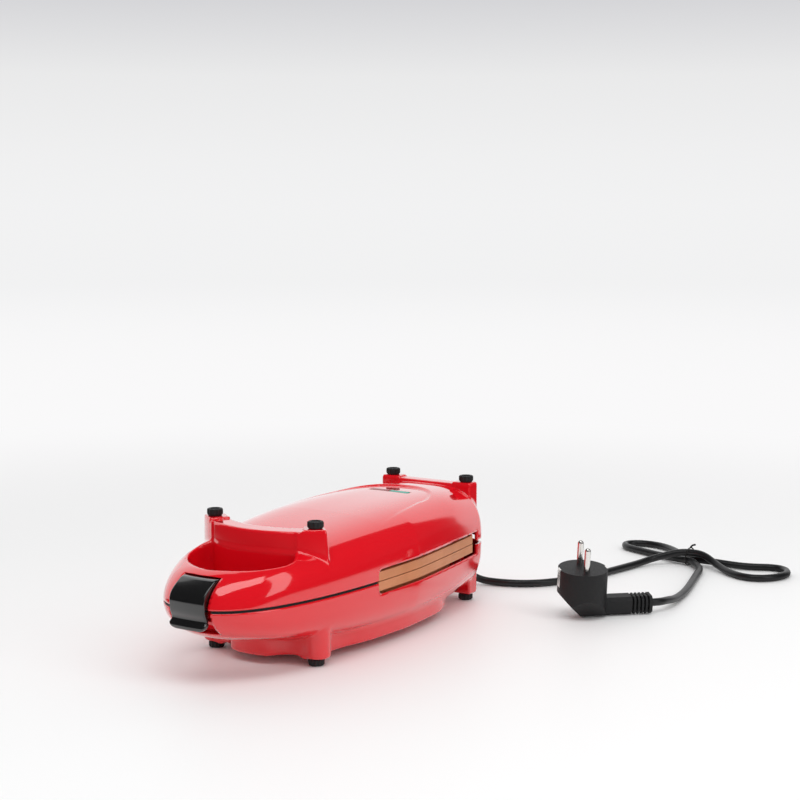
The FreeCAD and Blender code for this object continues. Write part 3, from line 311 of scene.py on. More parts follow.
def dress_nodes(finishes):
    """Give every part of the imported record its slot's material."""
    for part in frame["record"]["subparts"]:
        mesh = nodes[part["node"]].data
        mesh.materials.clear()
        mesh.materials.append(finishes[part["material_slot"]])


# The housings: a smooth field per half, negative inside, in mm over x, y and rise from the seam.

HULL_FRONT, HULL_BACK = -158, 153      # where its curves end; it is cut just short of them
NOSE_CUT, TAIL_CUT = -156.25, 152.99
WIDEST_Y, WIDEST_HALF = 25.5, 63.8
HIGHEST_Y, HIGHEST = 75, 44.5
REAR_CORNER_Y = 135
WALL = 2.6
HINGE = (154.5, 0)                     # y and rise of its pin, as for the latch
LATCH_PIVOT = (-143.4, 13.85)
KNUCKLE, PIN_BORE = 5.5, 2.05          # radii
GLAND = (12, 32.5)                     # x and rise, in the lower half
FIN_CENTRE_Y = -19.2
FIN_FRONT, FIN_BACK = 77.3, 62.3       # radii of its faces
FIN_TURN, HOLLOW_TURN, PAD_TURN = 44.2, 28.5, 31    # degrees from -Y to the ends
RIM_TOP, PAD_TOP = 43.4, 44.8          # fin and bar, and their pads under the feet
BAR_Y = (136.2, 147.8)
TUB_BOTTOM = 44.4


def eased(start, end, value):
    t = np.clip((value - start) / (end - start), 0, 1)
    return t * t * (3 - 2 * t)


def rear_corner(y):
    """The tail's rounding, 0 to 1."""
    t = np.clip((y - REAR_CORNER_Y) / (HULL_BACK - REAR_CORNER_Y), 0, 1)
    return 1 - np.sqrt(1 - t * t)


def half_width(y):
    """The hull's half width: blunt at the nose, slimmer at the tail."""
    ahead = np.clip((WIDEST_Y - y) / (WIDEST_Y - HULL_FRONT), 0, 1)
    behind = np.clip((y - WIDEST_Y) / (HULL_BACK - WIDEST_Y), 0, 1)
    front = WIDEST_HALF * np.maximum(1 - ahead ** 2.4, 0) ** .38
    back = WIDEST_HALF * (1 - .23 * behind ** 1.2) - 26 * rear_corner(y)
    return np.maximum(np.where(y <= WIDEST_Y, front, back), .5)


def crown(y):
    """The hull's height over the seam, along the middle line."""
    length = HIGHEST_Y - HULL_FRONT
    run = np.clip(y - HULL_FRONT, 0, length)
    bow = 1 - np.minimum(run / 24, 1)
    front = 18.5 * np.sqrt(1 - bow * bow) + 26 * (1 - (1 - run / length) ** 2.1)
    t = np.clip((y - HIGHEST_Y) / (HULL_BACK - HIGHEST_Y), 0, 1)
    back = HIGHEST - 5 * t * t - 17 * rear_corner(y)
    return np.maximum(np.where(y > HIGHEST_Y, back, front), .5)


def hull_rough(x, y, r):
    """Superellipse sections: nearly oval at the nose, squarer over the plates."""
    y = np.clip(y, NOSE_CUT, TAIL_CUT)
    power = 2.2 + 1.4 * eased(-150, -105, y) - .6 * eased(90, 150, y)
    out = np.sqrt(x * x + r * r) + 1e-3
    share = ((np.abs(x) / half_width(y)) ** power + (np.abs(r) / crown(y)) ** power) ** (1 / power)
    return out - out / np.maximum(share, 1e-6)


def levelled(field, x, y, r):
    """A field divided by its slope, so that it reads as a distance near its surface."""
    step = .2
    here = field(x, y, r)
    slope = ((field(x + step, y, r) - here) ** 2 + (field(x, y + step, r) - here) ** 2
             + (field(x, y, r + step) - here) ** 2)
    return here / np.maximum(np.sqrt(slope) / step, .2)


def hull(x, y, r):
    skin = levelled(hull_rough, x, y, r)
    return np.maximum(np.maximum(skin, y - TAIL_CUT), NOSE_CUT - y)


def joined(a, b, k):
    """Union with a fillet about k wide."""
    h = np.clip(.5 + .5 * (b - a) / k, 0, 1)
    return b * (1 - h) + a * h - k * h * (1 - h)


def shared(a, b, k):
    """Intersection with an edge rounded about k wide."""
    return -joined(-a, -b, k)


def without(a, b, k):
    """Difference with an edge rounded about k wide."""
    return shared(a, -b, k)


def upright(x, y, r, place, radius, top, bottom, k=1.6):
    """A round post at a place and at its mirror image."""
    ring = np.sqrt((np.abs(x) - place[0]) ** 2 + (y - place[1]) ** 2) - radius
    return np.maximum(shared(ring, r - top, k), bottom - r)


def outside(value, limits):
    """How far a value lies outside its two limits."""
    return np.abs(value - sum(limits) / 2) - (limits[1] - limits[0]) / 2


def block(x, y, r, half, y_range, r_range, k=.01):
    """A box over the middle line, of a half width."""
    sides = shared(np.abs(x) - half, outside(y, y_range), k)
    return shared(sides, outside(r, r_range), k)


def barrel(x, y, r, place, radius, x_range):
    """A cylinder across the cooker; its place is a y and a rise."""
    ring = np.sqrt((y - place[0]) ** 2 + (r - place[1]) ** 2) - radius
    return shared(ring, outside(x, x_range), .6)


def curve_through(knots, values):
    """A natural cubic through the given values, as a function of the knot."""
    knots, values = np.array(knots, float), np.array(values, float)
    gaps = np.diff(knots)
    count = len(knots)
    system, pull = np.eye(count), np.zeros(count)
    for i in range(1, count - 1):
        system[i, i - 1:i + 2] = gaps[i - 1], 2 * (gaps[i - 1] + gaps[i]), gaps[i]
        ahead = (values[i + 1] - values[i]) / gaps[i]
        behind = (values[i] - values[i - 1]) / gaps[i - 1]
        pull[i] = 6 * (ahead - behind)
    bend = np.linalg.solve(system, pull)

    def at(t):
        t = np.clip(t, knots[0], knots[-1])
        i = np.clip(np.searchsorted(knots, t, side="right") - 1, 0, count - 2)
        a, b, gap = knots[i + 1] - t, t - knots[i], gaps[i]
        return ((bend[i] * a ** 3 + bend[i + 1] * b ** 3) / (6 * gap)
                + (values[i] / gap - bend[i] * gap / 6) * a
                + (values[i + 1] / gap - bend[i + 1] * gap / 6) * b)
    return at


def polar_outline(centre_y, outline, closed_behind=False):
    """How far a point lies outside half an outline and its mirror image, seen from a centre."""
    turns = [math.atan2(x, -(y - centre_y)) for x, y in outline]
    reaches = [math.hypot(x, y - centre_y) for x, y in outline]
    if closed_behind:
        turns += [2 * math.pi - t for t in turns[-2::-1]]
        reaches += reaches[-2::-1]
    else:
        turns = [-t for t in turns[:0:-1]] + turns
        reaches = reaches[:0:-1] + reaches
    radius = curve_through(turns, reaches)

    def distance(x, y, r):
        turn = np.arctan2(np.abs(x), -(y - centre_y))
        return np.sqrt(x * x + (y - centre_y) ** 2) - radius(turn)
    return distance


WELL_OUTLINE = polar_outline(
    -80, [(0, -135.5), (14, -132), (26.5, -124), (36.5, -112), (40.3, -102), (39.8, -95),
          (36.5, -89.5), (31, -84), (28, -78)])
TUB_OUTLINE = polar_outline(
    25, [(0, -99), (10, -97.3), (18.5, -92.3), (23.5, -86.3), (29, -83), (36, -80.8), (41.5, -75),
         (46, -66), (48, -52), (51.5, -34), (55, -12), (57.3, 25), (55, 60), (47.6, 91),
         (30.4, 111.5), (0, 122)], closed_behind=True)


def around_fin(x, y):
    return np.sqrt(x * x + (y - FIN_CENTRE_Y) ** 2)


def well(x, y, r, grow):
    """The finger opening behind the nose, up to the fin's front face."""
    outline = levelled(WELL_OUTLINE, x, y, r) - grow
    return shared(outline, FIN_FRONT - grow - around_fin(x, y), 1)


def past_turn(x, y, degrees):
    """How far a point lies beyond the fin's radial plane at a turn from -Y, on either side."""
    turn = math.radians(degrees)
    return np.abs(x) * math.cos(turn) + (y - FIN_CENTRE_Y) * math.sin(turn)


def crescent(x, y, r, front, back, turn, top):
    """An arc of wall between two radii, its ends leaning in a little towards the top."""
    out = around_fin(x, y)
    ends = past_turn(x, y, turn) + .06 * (r - 30)
    band = shared(shared(out - front, back - out, 1.2), ends, 1.4)
    return np.maximum(shared(band, r - top, 1.3), 12 - r)


def tub(x, y, r, shrink):
    """The lower half's deep belly, its sides drawn in towards the flat bottom."""
    outline = levelled(TUB_OUTLINE, x, y, r) + shrink + 1.2 * (r - 8) / 36
    return np.maximum(shared(outline, r - TUB_BOTTOM + shrink, 2.6), 8 - r)


def side_window(x, y, r):
    """The open sides that show the plates' edges, round at the front upper corner."""
    front, rear, top, radius = -25.2, 129.5, 9, 4
    ahead, above = front - y, r - top
    past, over = np.maximum(ahead + radius, 0), np.maximum(above + radius, 0)
    corner = np.sqrt(past ** 2 + over ** 2) - radius
    near_corner = (ahead > -radius) & (above > -radius)
    outline = np.where(near_corner, corner, np.maximum(ahead, above))
    return np.maximum(outline, y - rear)


def panel_step(x, y):
    """The horseshoe in the top panel: 1 inside, 0 outside, eased over its shoulder."""
    start, bend, end = -5, 63.5, 109.5
    straight = (np.abs(x) - 50 + 10 * (y - start) / (bend - start)) * .99
    oval = (np.sqrt((x / 40) ** 2 + ((y - bend) / (end - bend)) ** 2) - 1) * 41
    edge = np.where(y < bend, straight, oval)
    return eased(1.5, -1.5, edge) * np.clip((y - start) / (end - start), 0, 1)


def raised(x, y, r, half):
    """What stands on a half: the rear bar with its pads, and the fin or the tub and columns."""
    bar = block(x, y, r, 41.2, BAR_Y, (20, RIM_TOP), 1.6)
    bar = joined(bar, block(np.abs(x) - 32.8, y, r, 8.4, BAR_Y, (20, PAD_TOP), 1.6), .8)
    if half == "lower":
        columns = upright(x, y, r, (44.3, -74), 9, PAD_TOP, 12, 2.4)
        return np.minimum(bar, joined(columns, tub(x, y, r, 0), 7))
    fin = crescent(x, y, r, FIN_FRONT, FIN_BACK, FIN_TURN, RIM_TOP)
    pads = crescent(x, y, r, FIN_FRONT, FIN_BACK, FIN_TURN, PAD_TOP)
    pads = shared(pads, -past_turn(x, y, PAD_TURN), .8)
    return np.minimum(bar, joined(fin, pads, .6))


# The solid round each screw: its place, its radius, and the rise where it starts.
SCREW_POSTS = [((52, -10), 4, 18.3), ((44, 115), 4, 6.8), ((52.3, -62), 3.4, 3.6),
               ((8, -142), 3.4, 3.6), ((24, 132), 3.4, 4.2), ((43.7, -75), 4, 30),
               ((34.4, 142), 4, 30)]


def room(x, y, r, half):
    """The hollow of a half, without the well's wall, the nose block and the screw posts."""
    space = np.maximum(np.maximum(hull(x, y, r) + WALL, -146 - y), y - 150.4)
    if half == "lower":
        space = np.minimum(space, tub(x, y, r, WALL))
    else:
        space = space + 1.2 * panel_step(x, y)
        in_fin = crescent(x, y, r, FIN_FRONT - WALL, FIN_BACK + WALL, HOLLOW_TURN, RIM_TOP - WALL)
        space = np.minimum(space, in_fin)
    kept = well(x, y, r, WALL)
    kept = np.minimum(kept, block(x, y, r, 21.5, (-170, -130), (-3, 60)))
    for place, radius, start in SCREW_POSTS:
        kept = np.minimum(kept, upright(x, y, r, place, radius, 60, start))
    return without(space, kept, .6)


def hinge_barrels(x, y, r, half, grow=0, margin=0):
    """One knuckle on the upper half, between two on the lower."""
    if half == "upper":
        return barrel(x, y, r, HINGE, KNUCKLE + grow, (-17.5 - margin, 17.5 + margin))
    return barrel(np.abs(x), y, r, HINGE, KNUCKLE + grow, (18 - margin, 30 + margin))


def hinge_webs(x, y, r, half):
    """The webs that carry the knuckles."""
    if half == "upper":
        return block(x, y, r, 17.5, (147, HINGE[0]), (-9, 9))
    return block(np.abs(x) - 24, y, r, 6, (147, HINGE[0]), (-9, 9))


def latch_bed(x, y, r, half):
    """The nose's flat for the latch: a bed and a barrel's groove above, a floor and a rib below."""
    if half == "upper":
        floor = hull(x, y - 5, r)
        bed = np.maximum(-floor, block(x, y, r, 15.5, (-170, -130), (-14, 17)))
        return np.minimum(bed, barrel(x, y, r, LATCH_PIVOT, 6.3, (-15.5, 15.5)))
    floor = hull(x, y - 6.5, r)
    rib = block(x, y, r, 14, (-160, -140), (6.5, 8.5), .5)
    floor = np.minimum(floor, np.maximum(hull(x, y - 5.4, r), rib))
    return np.maximum(-floor, block(x, y, r, 17, (-170, -130), (-17, 17)))


def gland_seat(body, x, y, r):
    """The body with a boss in its rear wall, bored for the cord's gland."""
    ring = np.sqrt((x - GLAND[0]) ** 2 + (r - GLAND[1]) ** 2)
    boss = np.maximum(ring - 7, np.abs(y - 146.5) - 6.5)
    bore = np.maximum(ring - 4.55, 130 - y)
    return without(np.minimum(body, boss), bore, .3)


def housing_field(x, y, r, half):
    """One half of the body: the hull and what stands on it, less its openings."""
    skin = hull(x, y, r)
    if half == "upper":
        skin = skin + 1.7 * panel_step(x, y) * np.clip(r / 12, 0, 1)
    body = joined(skin, raised(x, y, r, half), 2.2)
    body = without(body, well(x, y, r, 0), 3)
    body = without(body, room(x, y, r, half), .4)
    body = without(body, side_window(x, y, r), .7)
    body = without(body, latch_bed(x, y, r, half), .5)
    body = shared(body, np.where(y > 123, 1.8, 1) - r, .6)
    if half == "upper":
        lens_slot = block(x, y, r, 17.2, (80.9, 87), (35, 60))
        body = without(body, lens_slot, .3)
    body = np.minimum(body, np.maximum(hinge_webs(x, y, r, half), -r))
    body = joined(body, hinge_barrels(x, y, r, half), .6)
    if half == "lower":
        body = gland_seat(body, x, y, r)
    other = "lower" if half == "upper" else "upper"
    body = without(body, hinge_barrels(x, y, r, other, grow=.8, margin=.3), .4)
    return without(body, barrel(x, y, r, HINGE, PIN_BORE, (-40, 40)), .2)


# From a field to a mesh: one point in each grid cell that the surface passes through.

def moved(points, axis, by):
    points = points.copy()
    points[:, axis] += by
    return points


def slopes(field, points):
    """The field's unit slope at each point."""
    nudge = .12
    here = field(*points.T)
    rise = np.stack([field(*moved(points, axis, nudge).T) - here for axis in range(3)], 1)
    return rise / np.maximum(np.linalg.norm(rise, axis=1, keepdims=True), 1e-9)


def zero_between(field, start, axis, step, near, far):
    """Where the field is zero between start, of value near, and one step on, of value far."""
    share = near / (near - far)
    low, high = np.zeros_like(share), np.ones_like(share)
    for _ in range(4):
        value = field(*moved(start, axis, share * step).T)
        same = (value < 0) == (near < 0)
        low, high = np.where(same, share, low), np.where(same, high, share)
        near, far = np.where(same, value, near), np.where(same, far, value)
        share = np.clip(low + (high - low) * near / (near - far), low, high)
    return moved(start, axis, share * step)


def grid_points(axes, cells):
    return np.stack([axes[d][cells[:, d]] for d in range(3)], 1)


def crossings_and_rings(field, axes, step):
    """Where the surface cuts the grid's edges, and the four cells round each cut edge."""
    shape = tuple(len(a) for a in axes)
    values = field(axes[0][:, None, None], axes[1][None, :, None], axes[2][None, None, :])
    values = np.broadcast_to(values, shape)
    inside = values < 0
    crossings, rings = [], []
    for axis in range(3):
        b, c = [d for d in range(3) if d != axis]
        first, second = [slice(None)] * 3, [slice(None)] * 3
        first[axis], second[axis] = slice(None, -1), slice(1, None)
        cut = np.argwhere(inside[tuple(first)] != inside[tuple(second)])
        cut = cut[(cut[:, b] > 0) & (cut[:, c] > 0)]
        near, far = values[tuple(cut.T)], values[tuple(moved(cut, axis, 1).T)]
        crossings.append(zero_between(field, grid_points(axes, cut), axis, step, near, far))
        ring = np.stack([np.ravel_multi_index(moved(moved(cut, b, db), c, dc).T, shape)
                         for db, dc in ((0, 0), (-1, 0), (-1, -1), (0, -1))], 1)
        turned = inside[tuple(cut.T)] == (axis == 1)
        ring[turned] = ring[turned][:, ::-1]
        rings.append(ring)
    return np.concatenate(crossings), np.concatenate(rings), shape


def contoured(field, low, high, step):
    """A quad mesh on the field's zero surface, its points drawn to creases, with smooth normals."""
    axes = [np.arange(a, b + step, step) for a, b in zip(low, high)]
    crossings, rings, shape = crossings_and_rings(field, axes, step)
    used, index = np.unique(rings, return_inverse=True)
    index = index.reshape(rings.shape)

    # Each cell's point lies nearest to the planes at its crossings, held a little to their middle.
    normals = slopes(field, crossings)
    outer = normals[:, :, None] * normals[:, None, :]
    aim = normals * np.sum(normals * crossings, 1)[:, None]
    weight, middle = np.zeros(len(used)), np.zeros((len(used), 3))
    system, pull = np.zeros((len(used), 3, 3)), np.zeros((len(used), 3))
    for corner in range(4):
        for total, part in ((weight, 1), (middle, crossings), (system, outer), (pull, aim)):
            np.add.at(total, index[:, corner], part)
    middle /= weight[:, None]
    hold = .04 * weight
    system += hold[:, None, None] * np.eye(3)
    pull += hold[:, None] * middle
    places = np.linalg.solve(system, pull[:, :, None])[:, :, 0]
    base = grid_points(axes, np.stack(np.unravel_index(used, shape), 1))
    places = np.clip(places, base - .1 * step, base + 1.1 * step)
    return places, index, slopes(field, places)


SEAM_HEIGHT = .05      # over the table, in metres


def contoured_piece(name, field, low, high, step, material, lower=False):
    """The field's surface as a piece in metres, mirrored below the seam for the lower half."""
    places, faces, normals = contoured(field, low, high, step)
    if lower:
        places[:, 2] *= -1
        normals[:, 2] *= -1
        faces = faces[:, ::-1]
    places = places * .001 + np.array([0, 0, SEAM_HEIGHT])
    mesh = bpy.data.meshes.new(name)
    mesh.from_pydata(places.tolist(), [], faces.tolist())
    mesh.materials.append(material)
    mesh.shade_smooth()
    mesh.normals_split_custom_set_from_vertices(normals.tolist())
    piece = bpy.data.objects.new(name, mesh)
    scene.collection.objects.link(piece)
    return piece


def housings(material):
    """The two halves of the red body."""
    step = 1.45
    for half, body in (("lower", "base"), ("upper", "lid")):
        piece = contoured_piece(
            half + "_housing", lambda x, y, r: housing_field(x, y, r, half),
            (-66, -159, -7.3), (66, 162.5, 46), step, material, lower=half == "lower")
        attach(piece, body)
        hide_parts(half + "_shell")


# The two lenses, flush in their slot in the panel.

def lenses(finishes):
    for name, middle in (("lens_red", -8.7), ("lens_green", 8.7)):
        piece = contoured_piece(
            name + "_strip",
            lambda x, y, r: block(x - middle, y, r, 8.3, (81.1, 86.8), (39.4, 43.15), .4),
            (middle - 9, 80.4, 38.8), (middle + 9, 87.5, 43.8), .52, finishes[name])
        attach(piece, "lid")
        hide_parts(name)


# The latch: a bowed plate hung from its barrel, flared to a finger lip.

# Its faces as y over rise, from the lip's end to the top.
LATCH_FACE = curve_through(
    [-13.6, -11.5, -9.6, -7.9, -3, 2, 6, 9, 11.5, 14.5, 17, 19.4],
    [-159.3, -159.9, -159.5, -158, -158.8, -159.7, -159.8, -159, -157.3, -153.8, -150.1, -146.2])
LATCH_BACK = curve_through(
    [-13.6, -8, -2.5, 4.5, 10, 13.9, 19.4],
    [-156.4, -154.9, -154.8, -153.3, -150.5, -147, -141])
LATCH_BOW = 150


def latch_field(x, y, r):
    bow = LATCH_BOW - np.sqrt(LATCH_BOW ** 2 - x * x)
    face = levelled(lambda a, b, c: LATCH_FACE(c) + bow - b, x, y, r)
    back = levelled(lambda a, b, c: b - LATCH_BACK(c) - bow, x, y, r)
    side = np.abs(x) - 14.6 - 1.1 * eased(-7, -9.5, r)
    outline = shared(side, np.abs(r - 2.85) - 16.35, np.where(r < 0, 7, 1.2))
    plate = shared(shared(face, back, .7), outline, 1)
    plate = joined(plate, barrel(x, y, r, LATCH_PIVOT, 4.6, (-14.4, 14.4)), .8)
    tooth = block(x, y, r, 12, (-157, -151.3), (-11.5, -9.5), .4)
    pin_hole = barrel(x, y, r, LATCH_PIVOT, 1.55, (-30, 30))
    return without(np.minimum(plate, tooth), pin_hole, .2)


def latch(material):
    """The glossy clip over the nose."""
    piece = contoured_piece("nose_latch", latch_field, (-17.6, -161.2, -14.6), (17.6, -137, 20),
                            .62, material)
    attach(piece, "latch")
    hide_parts("latch")


# The ribbed feet: one node tree, set on every foot place of a body.

FOOT_PLACES = {"front_left": (-.0437, -.075), "front_right": (.0437, -.075),
               "rear_left": (-.0344, .142), "rear_right": (.0344, .142)}
FOOT_HEIGHT = .0052
# A foot's profile from its seat to its sunk middle: shares of radius, height and rib depth.
FOOT_REACH = [(0, 0), (.12, .84), (.2, .88), (.3, .97), (.38, 1), (.56, 1), (.64, .97), (.7, .9),
              (.76, .66), (.8, .62), (.88, .58), (1, 0)]
FOOT_RISE = [(0, 0), (.12, 0), (.2, .05), (.3, .18), (.38, .28), (.56, .82), (.64, .93), (.7, .99),
             (.76, 1), (.8, .98), (.88, .84), (1, .84)]
FOOT_RIBBED = [(0, 0), (.22, 0), (.36, 1), (.62, 1), (.76, .2), (.8, 0), (1, 0)]


def shaped_curve(tree, value, points):
    """A function of a 0 to 1 value, in straight runs through the given points."""
    curve = tree.nodes.new("ShaderNodeFloatCurve")
    line = curve.mapping.curves[0]
    line.points[0].location, line.points[1].location = points[0], points[-1]
    for place in points[1:-1]:
        line.points.new(*place)
    for point in line.points:
        point.handle_type = "VECTOR"
    curve.mapping.update()
    tree.links.new(value, curve.inputs["Value"])
    return curve.outputs["Value"]


def maths(tree, operation, *terms):
    """One Math node; each term is a socket or a number."""
    node = tree.nodes.new("ShaderNodeMath")
    node.operation = operation
    for socket, term in zip(node.inputs, terms):
        if isinstance(term, (int, float)):
            socket.default_value = term
        else:
            tree.links.new(term, socket)
    return node.outputs[0]


def foot_tree():
    """A knob turned from a profile, narrow at its seat and ribbed, set on each point given."""
    tree = bpy.data.node_groups.new("ribbed_foot", "GeometryNodeTree")
    tree.interface.new_socket("Geometry", in_out="INPUT", socket_type="NodeSocketGeometry")
    for label, value in (("Radius", .0057), ("Height", FOOT_HEIGHT), ("Ribs", 12),
                         ("Rib Depth", .05), ("Turned", 0)):
        socket = tree.interface.new_socket(label, in_out="INPUT", socket_type="NodeSocketFloat")
        socket.default_value = value
    tree.interface.new_socket("Material", in_out="INPUT", socket_type="NodeSocketMaterial")
    tree.interface.new_socket("Geometry", in_out="OUTPUT", socket_type="NodeSocketGeometry")
    add, link = tree.nodes.new, tree.links.new
    given, result = add("NodeGroupInput"), add("NodeGroupOutput")
    grid = add("GeometryNodeMeshGrid")
    grid.inputs["Vertices X"].default_value = 113
    grid.inputs["Vertices Y"].default_value = 27
    place = add("ShaderNodeSeparateXYZ")
    link(add("GeometryNodeInputPosition").outputs[0], place.inputs[0])
    turn = maths(tree, "MULTIPLY", maths(tree, "ADD", place.outputs["X"], .5), 2 * math.pi)
    along = maths(tree, "ADD", place.outputs["Y"], .5)
    reach = shaped_curve(tree, along, FOOT_REACH)
    rise = shaped_curve(tree, along, FOOT_RISE)
    held = shaped_curve(tree, along, FOOT_RIBBED)
    wave = maths(tree, "COSINE", maths(tree, "MULTIPLY", turn, given.outputs["Ribs"]))
    wave = maths(tree, "MULTIPLY", maths(tree, "MULTIPLY", wave, held), given.outputs["Rib Depth"])
    out = maths(tree, "MULTIPLY", maths(tree, "MULTIPLY", reach, given.outputs["Radius"]),
               maths(tree, "ADD", wave, maths(tree, "SUBTRACT", 1, given.outputs["Rib Depth"])))
    spot = add("ShaderNodeCombineXYZ")
    link(maths(tree, "MULTIPLY", out, maths(tree, "COSINE", turn)), spot.inputs["X"])
    link(maths(tree, "MULTIPLY", out, maths(tree, "SINE", turn)), spot.inputs["Y"])
    link(maths(tree, "MULTIPLY", rise, given.outputs["Height"]), spot.inputs["Z"])
    shaped = add("GeometryNodeSetPosition")
    link(grid.outputs["Mesh"], shaped.inputs["Geometry"])
    link(spot.outputs[0], shaped.inputs["Position"])
    merged = add("GeometryNodeMergeByDistance")
    merged.inputs["Distance"].default_value = 2e-6
    link(shaped.outputs[0], merged.inputs["Geometry"])
    heading = add("ShaderNodeCombineXYZ")
    link(given.outputs["Turned"], heading.inputs["X"])
    stand = add("GeometryNodeInstanceOnPoints")
    link(given.outputs["Geometry"], stand.inputs["Points"])
    link(merged.outputs[0], stand.inputs["Instance"])
    link(heading.outputs[0], stand.inputs["Rotation"])
    real = add("GeometryNodeRealizeInstances")
    link(stand.outputs[0], real.inputs[0])
    smooth = add("GeometryNodeSetShadeSmooth")
    link(real.outputs[0], smooth.inputs["Geometry"])
    coat = add("GeometryNodeSetMaterial")
    link(smooth.outputs[0], coat.inputs["Geometry"])
    link(given.outputs["Material"], coat.inputs["Material"])
    link(coat.outputs[0], result.inputs[0])
    return tree


def grown(name, points, tree, **values):
    """The tree's result on some points, as a plain mesh object."""
    mesh = bpy.data.meshes.new(name)
    mesh.from_pydata(points, [], [])
    piece = bpy.data.objects.new(name, mesh)
    scene.collection.objects.link(piece)
    modifier = piece.modifiers.new(name, "NODES")
    modifier.node_group = tree
    for item in tree.interface.items_tree:
        if item.in_out == "INPUT" and item.name in values:
            modifier[item.identifier] = values[item.name]
    shown = piece.evaluated_get(bpy.context.evaluated_depsgraph_get())
    piece.data = bpy.data.meshes.new_from_object(shown)
    piece.modifiers.clear()
    return piece


def feet(material):
    """Four feet under the lower half and four, turned over, on the upper."""
    tree = foot_tree()
    top = 2 * SEAM_HEIGHT - FOOT_HEIGHT
    for half, body, seat, turned in (("lower", "base", FOOT_HEIGHT, math.pi),
                                     ("upper", "lid", top, 0.0)):
        points = [(x, y, seat) for x, y in FOOT_PLACES.values()]
        piece = grown(half + "_feet", points, tree, Turned=turned, Material=material)
        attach(piece, body)
        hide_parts(*[half + "_foot_" + corner for corner in FOOT_PLACES])


# Floor, light and background.

BACKDROP_WAY = (-.643, .766, 0)
BACKDROP_SPREAD = .52
HORIZON = (.885, .885, .89)


def towards_backdrop(tree, source):
    """How far a direction points to the lit backdrop behind: 1 there, 0 in the dark studio."""
    facing = tree.nodes.new("ShaderNodeVectorMath")
    facing.operation = "DOT_PRODUCT"
    facing.inputs[1].default_value = BACKDROP_WAY
    tree.links.new(source, facing.inputs[0])
    return eased_range(tree, facing.outputs["Value"],
                       BACKDROP_SPREAD - .015, BACKDROP_SPREAD + .015)


def eased_range(tree, value, start, end):
    """0 before start, 1 after end, smooth between them."""
    fade = tree.nodes.new("ShaderNodeMapRange")
    fade.interpolation_type = "SMOOTHSTEP"
    fade.inputs["From Min"].default_value = start
    fade.inputs["From Max"].default_value = end
    tree.links.new(value, fade.inputs["Value"])
    return fade.outputs["Result"]


def mixed(tree, factor, first, second):
    mix = tree.nodes.new("ShaderNodeMixShader")
    for socket, source in zip(mix.inputs, (factor, first, second)):
        tree.links.new(source, socket)
    return mix.outputs[0]


def glow(tree, kind, colour, strength=1):
    light = tree.nodes.new(kind)
    light.inputs["Color"].default_value = (*colour, 1)
    light.inputs["Strength"].default_value = strength
    return light.outputs[0]


def vector_math(tree, operation, source):
    node = tree.nodes.new("ShaderNodeVectorMath")
    node.operation = operation
    tree.links.new(source, node.inputs[0])
    return node.outputs["Value" if operation == "LENGTH" else "Vector"]


def sweep_finish():
    """Pale table; far out it glows like the backdrop, and gloss sees it end in the dark studio."""
    material, shader = finish("floor_white", (.94, .94, .94), Roughness=.5, Specular_IOR_Level=.2)
    tree = material.node_tree
    place = tree.nodes.new("ShaderNodeTexCoord").outputs["Object"]
    path = tree.nodes.new("ShaderNodeLightPath")
    far = vector_math(tree, "LENGTH", place)
    beyond = mixed(tree, eased_range(tree, far, 1.2, 6),
                   glow(tree, "ShaderNodeEmission", (.95, .945, .95)),
                   glow(tree, "ShaderNodeEmission", HORIZON))
    table = mixed(tree, eased_range(tree, far, .3, 1.2), shader.outputs[0], beyond)
    lit = towards_backdrop(tree, vector_math(tree, "NORMALIZE", place))
    edge = eased_range(tree, far, .36, .48)
    dark = maths(tree, "MULTIPLY", edge, maths(tree, "SUBTRACT", 1, lit))
    dark = maths(tree, "MULTIPLY", dark, path.outputs["Is Glossy Ray"])
    surface = mixed(tree, dark, table, glow(tree, "ShaderNodeEmission", (.03, .03, .032)))
    tree.links.new(surface, tree.nodes["Material Output"].inputs["Surface"])
    return material


def stage_floor():
    mesh = bpy.data.meshes.new("floor")
    corners = [(-12, -12, 0), (12, -12, 0), (12, 12, 0), (-12, 12, 0)]
    mesh.from_pydata(corners, [], [(0, 1, 2, 3)])
    mesh.materials.append(sweep_finish())
    floor = bpy.data.objects.new("floor", mesh)
    floor.location.z = -.0002
    scene.collection.objects.link(floor)


def softbox(name, place, aim, width, height, watts, roll):
    """An area lamp that faces a point, turned about its own axis by some degrees."""
    data = bpy.data.lights.new(name, "AREA")
    data.shape = "RECTANGLE"
    data.size = width
    data.size_y = height
    data.energy = watts
    lamp = bpy.data.objects.new(name, data)
    lamp.location = place
    facing = (Vector(aim) - Vector(place)).to_track_quat("-Z", "Y")
    lamp.rotation_euler = (facing @ Quaternion((0, 0, 1), math.radians(roll))).to_euler()
    lamp.visible_camera = False
    scene.collection.objects.link(lamp)


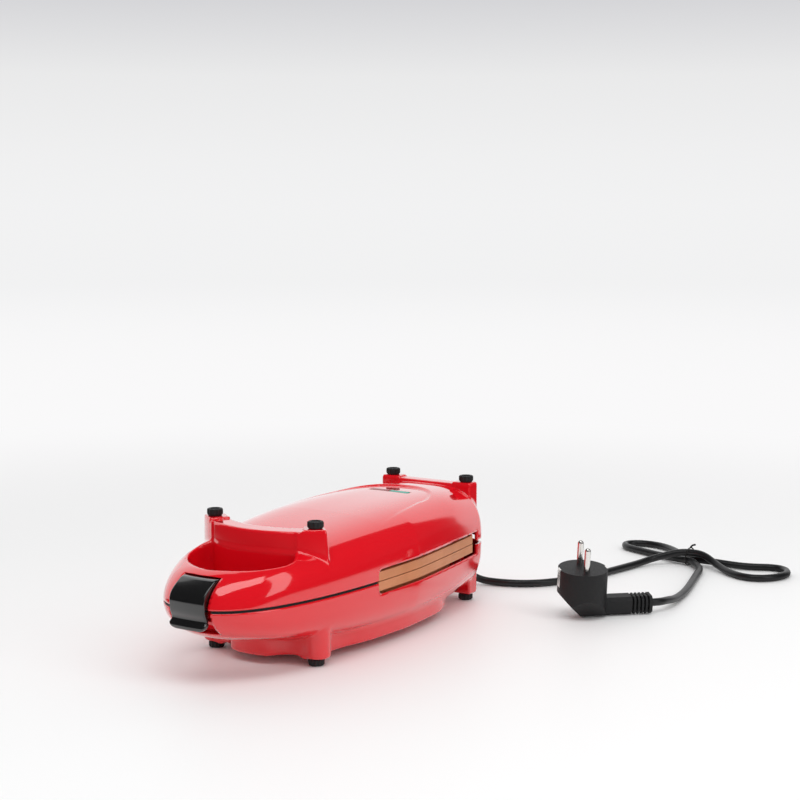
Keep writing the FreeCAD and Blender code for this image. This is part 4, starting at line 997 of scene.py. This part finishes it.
def backdrop_ramp(tree, source):
    """The backdrop's white, falling off upwards."""
    split = tree.nodes.new("ShaderNodeSeparateXYZ")
    tree.links.new(source, split.inputs[0])
    ramp = tree.nodes.new("ShaderNodeValToRGB")
    stops = ramp.color_ramp.elements
    for place, level in ((.03, .87), (.078, .82)):
        stops.new(place).color = (level, level, level * 1.005, 1)
    stops[0].position, stops[0].color = 0, (*HORIZON, 1)
    stops[-1].position, stops[-1].color = .125, (.66, .66, .68, 1)
    tree.links.new(split.outputs["Z"], ramp.inputs["Fac"])
    return ramp.outputs["Color"]


def studio_world():
    """The backdrop for straight rays; for gloss and light, bright behind and darker in front."""
    world = bpy.data.worlds.new("studio")
    world.use_nodes = True
    scene.world = world
    tree = world.node_tree
    tree.nodes.clear()
    place = tree.nodes.new("ShaderNodeTexCoord").outputs["Generated"]
    path = tree.nodes.new("ShaderNodeLightPath")
    backdrop = tree.nodes.new("ShaderNodeBackground")
    tree.links.new(backdrop_ramp(tree, place), backdrop.inputs["Color"])
    lit = towards_backdrop(tree, place)
    gloss = mixed(tree, lit, glow(tree, "ShaderNodeBackground", (.05, .05, .055)),
                  glow(tree, "ShaderNodeBackground", (.95, .95, .96)))
    light = mixed(tree, lit, glow(tree, "ShaderNodeBackground", (1, 1, 1), .62),
                  glow(tree, "ShaderNodeBackground", (1, 1, 1), 1.15))
    light = mixed(tree, path.outputs["Is Glossy Ray"], light, gloss)
    straight = path.outputs["Is Camera Ray"], path.outputs["Is Transmission Ray"]
    seen = maths(tree, "MAXIMUM", *straight)
    out = tree.nodes.new("ShaderNodeOutputWorld")
    tree.links.new(mixed(tree, seen, light, backdrop.outputs[0]), out.inputs["Surface"])


def studio():
    """The floor, the backdrop and two lamps: a tall one on the right, a wide one overhead."""
    stage_floor()
    studio_world()
    softbox("right_strip", (1.2, .09, .95), (0, 0, .1), .44, 1.9, 5.2, -10)
    softbox("front_overhead", (.27, -.5, 1.53), (0, 0, 0), 1.2, .66, 6.8, 30)


photo_camera()
finishes = all_finishes()
dress_nodes(finishes)
mains_lead(finishes["cord_rubber"])
housings(finishes["red_gloss"])
lenses(finishes)
latch(finishes["latch_gloss"])
feet(finishes["foot_rubber"])
studio()

scene.view_settings.view_transform = "Standard"
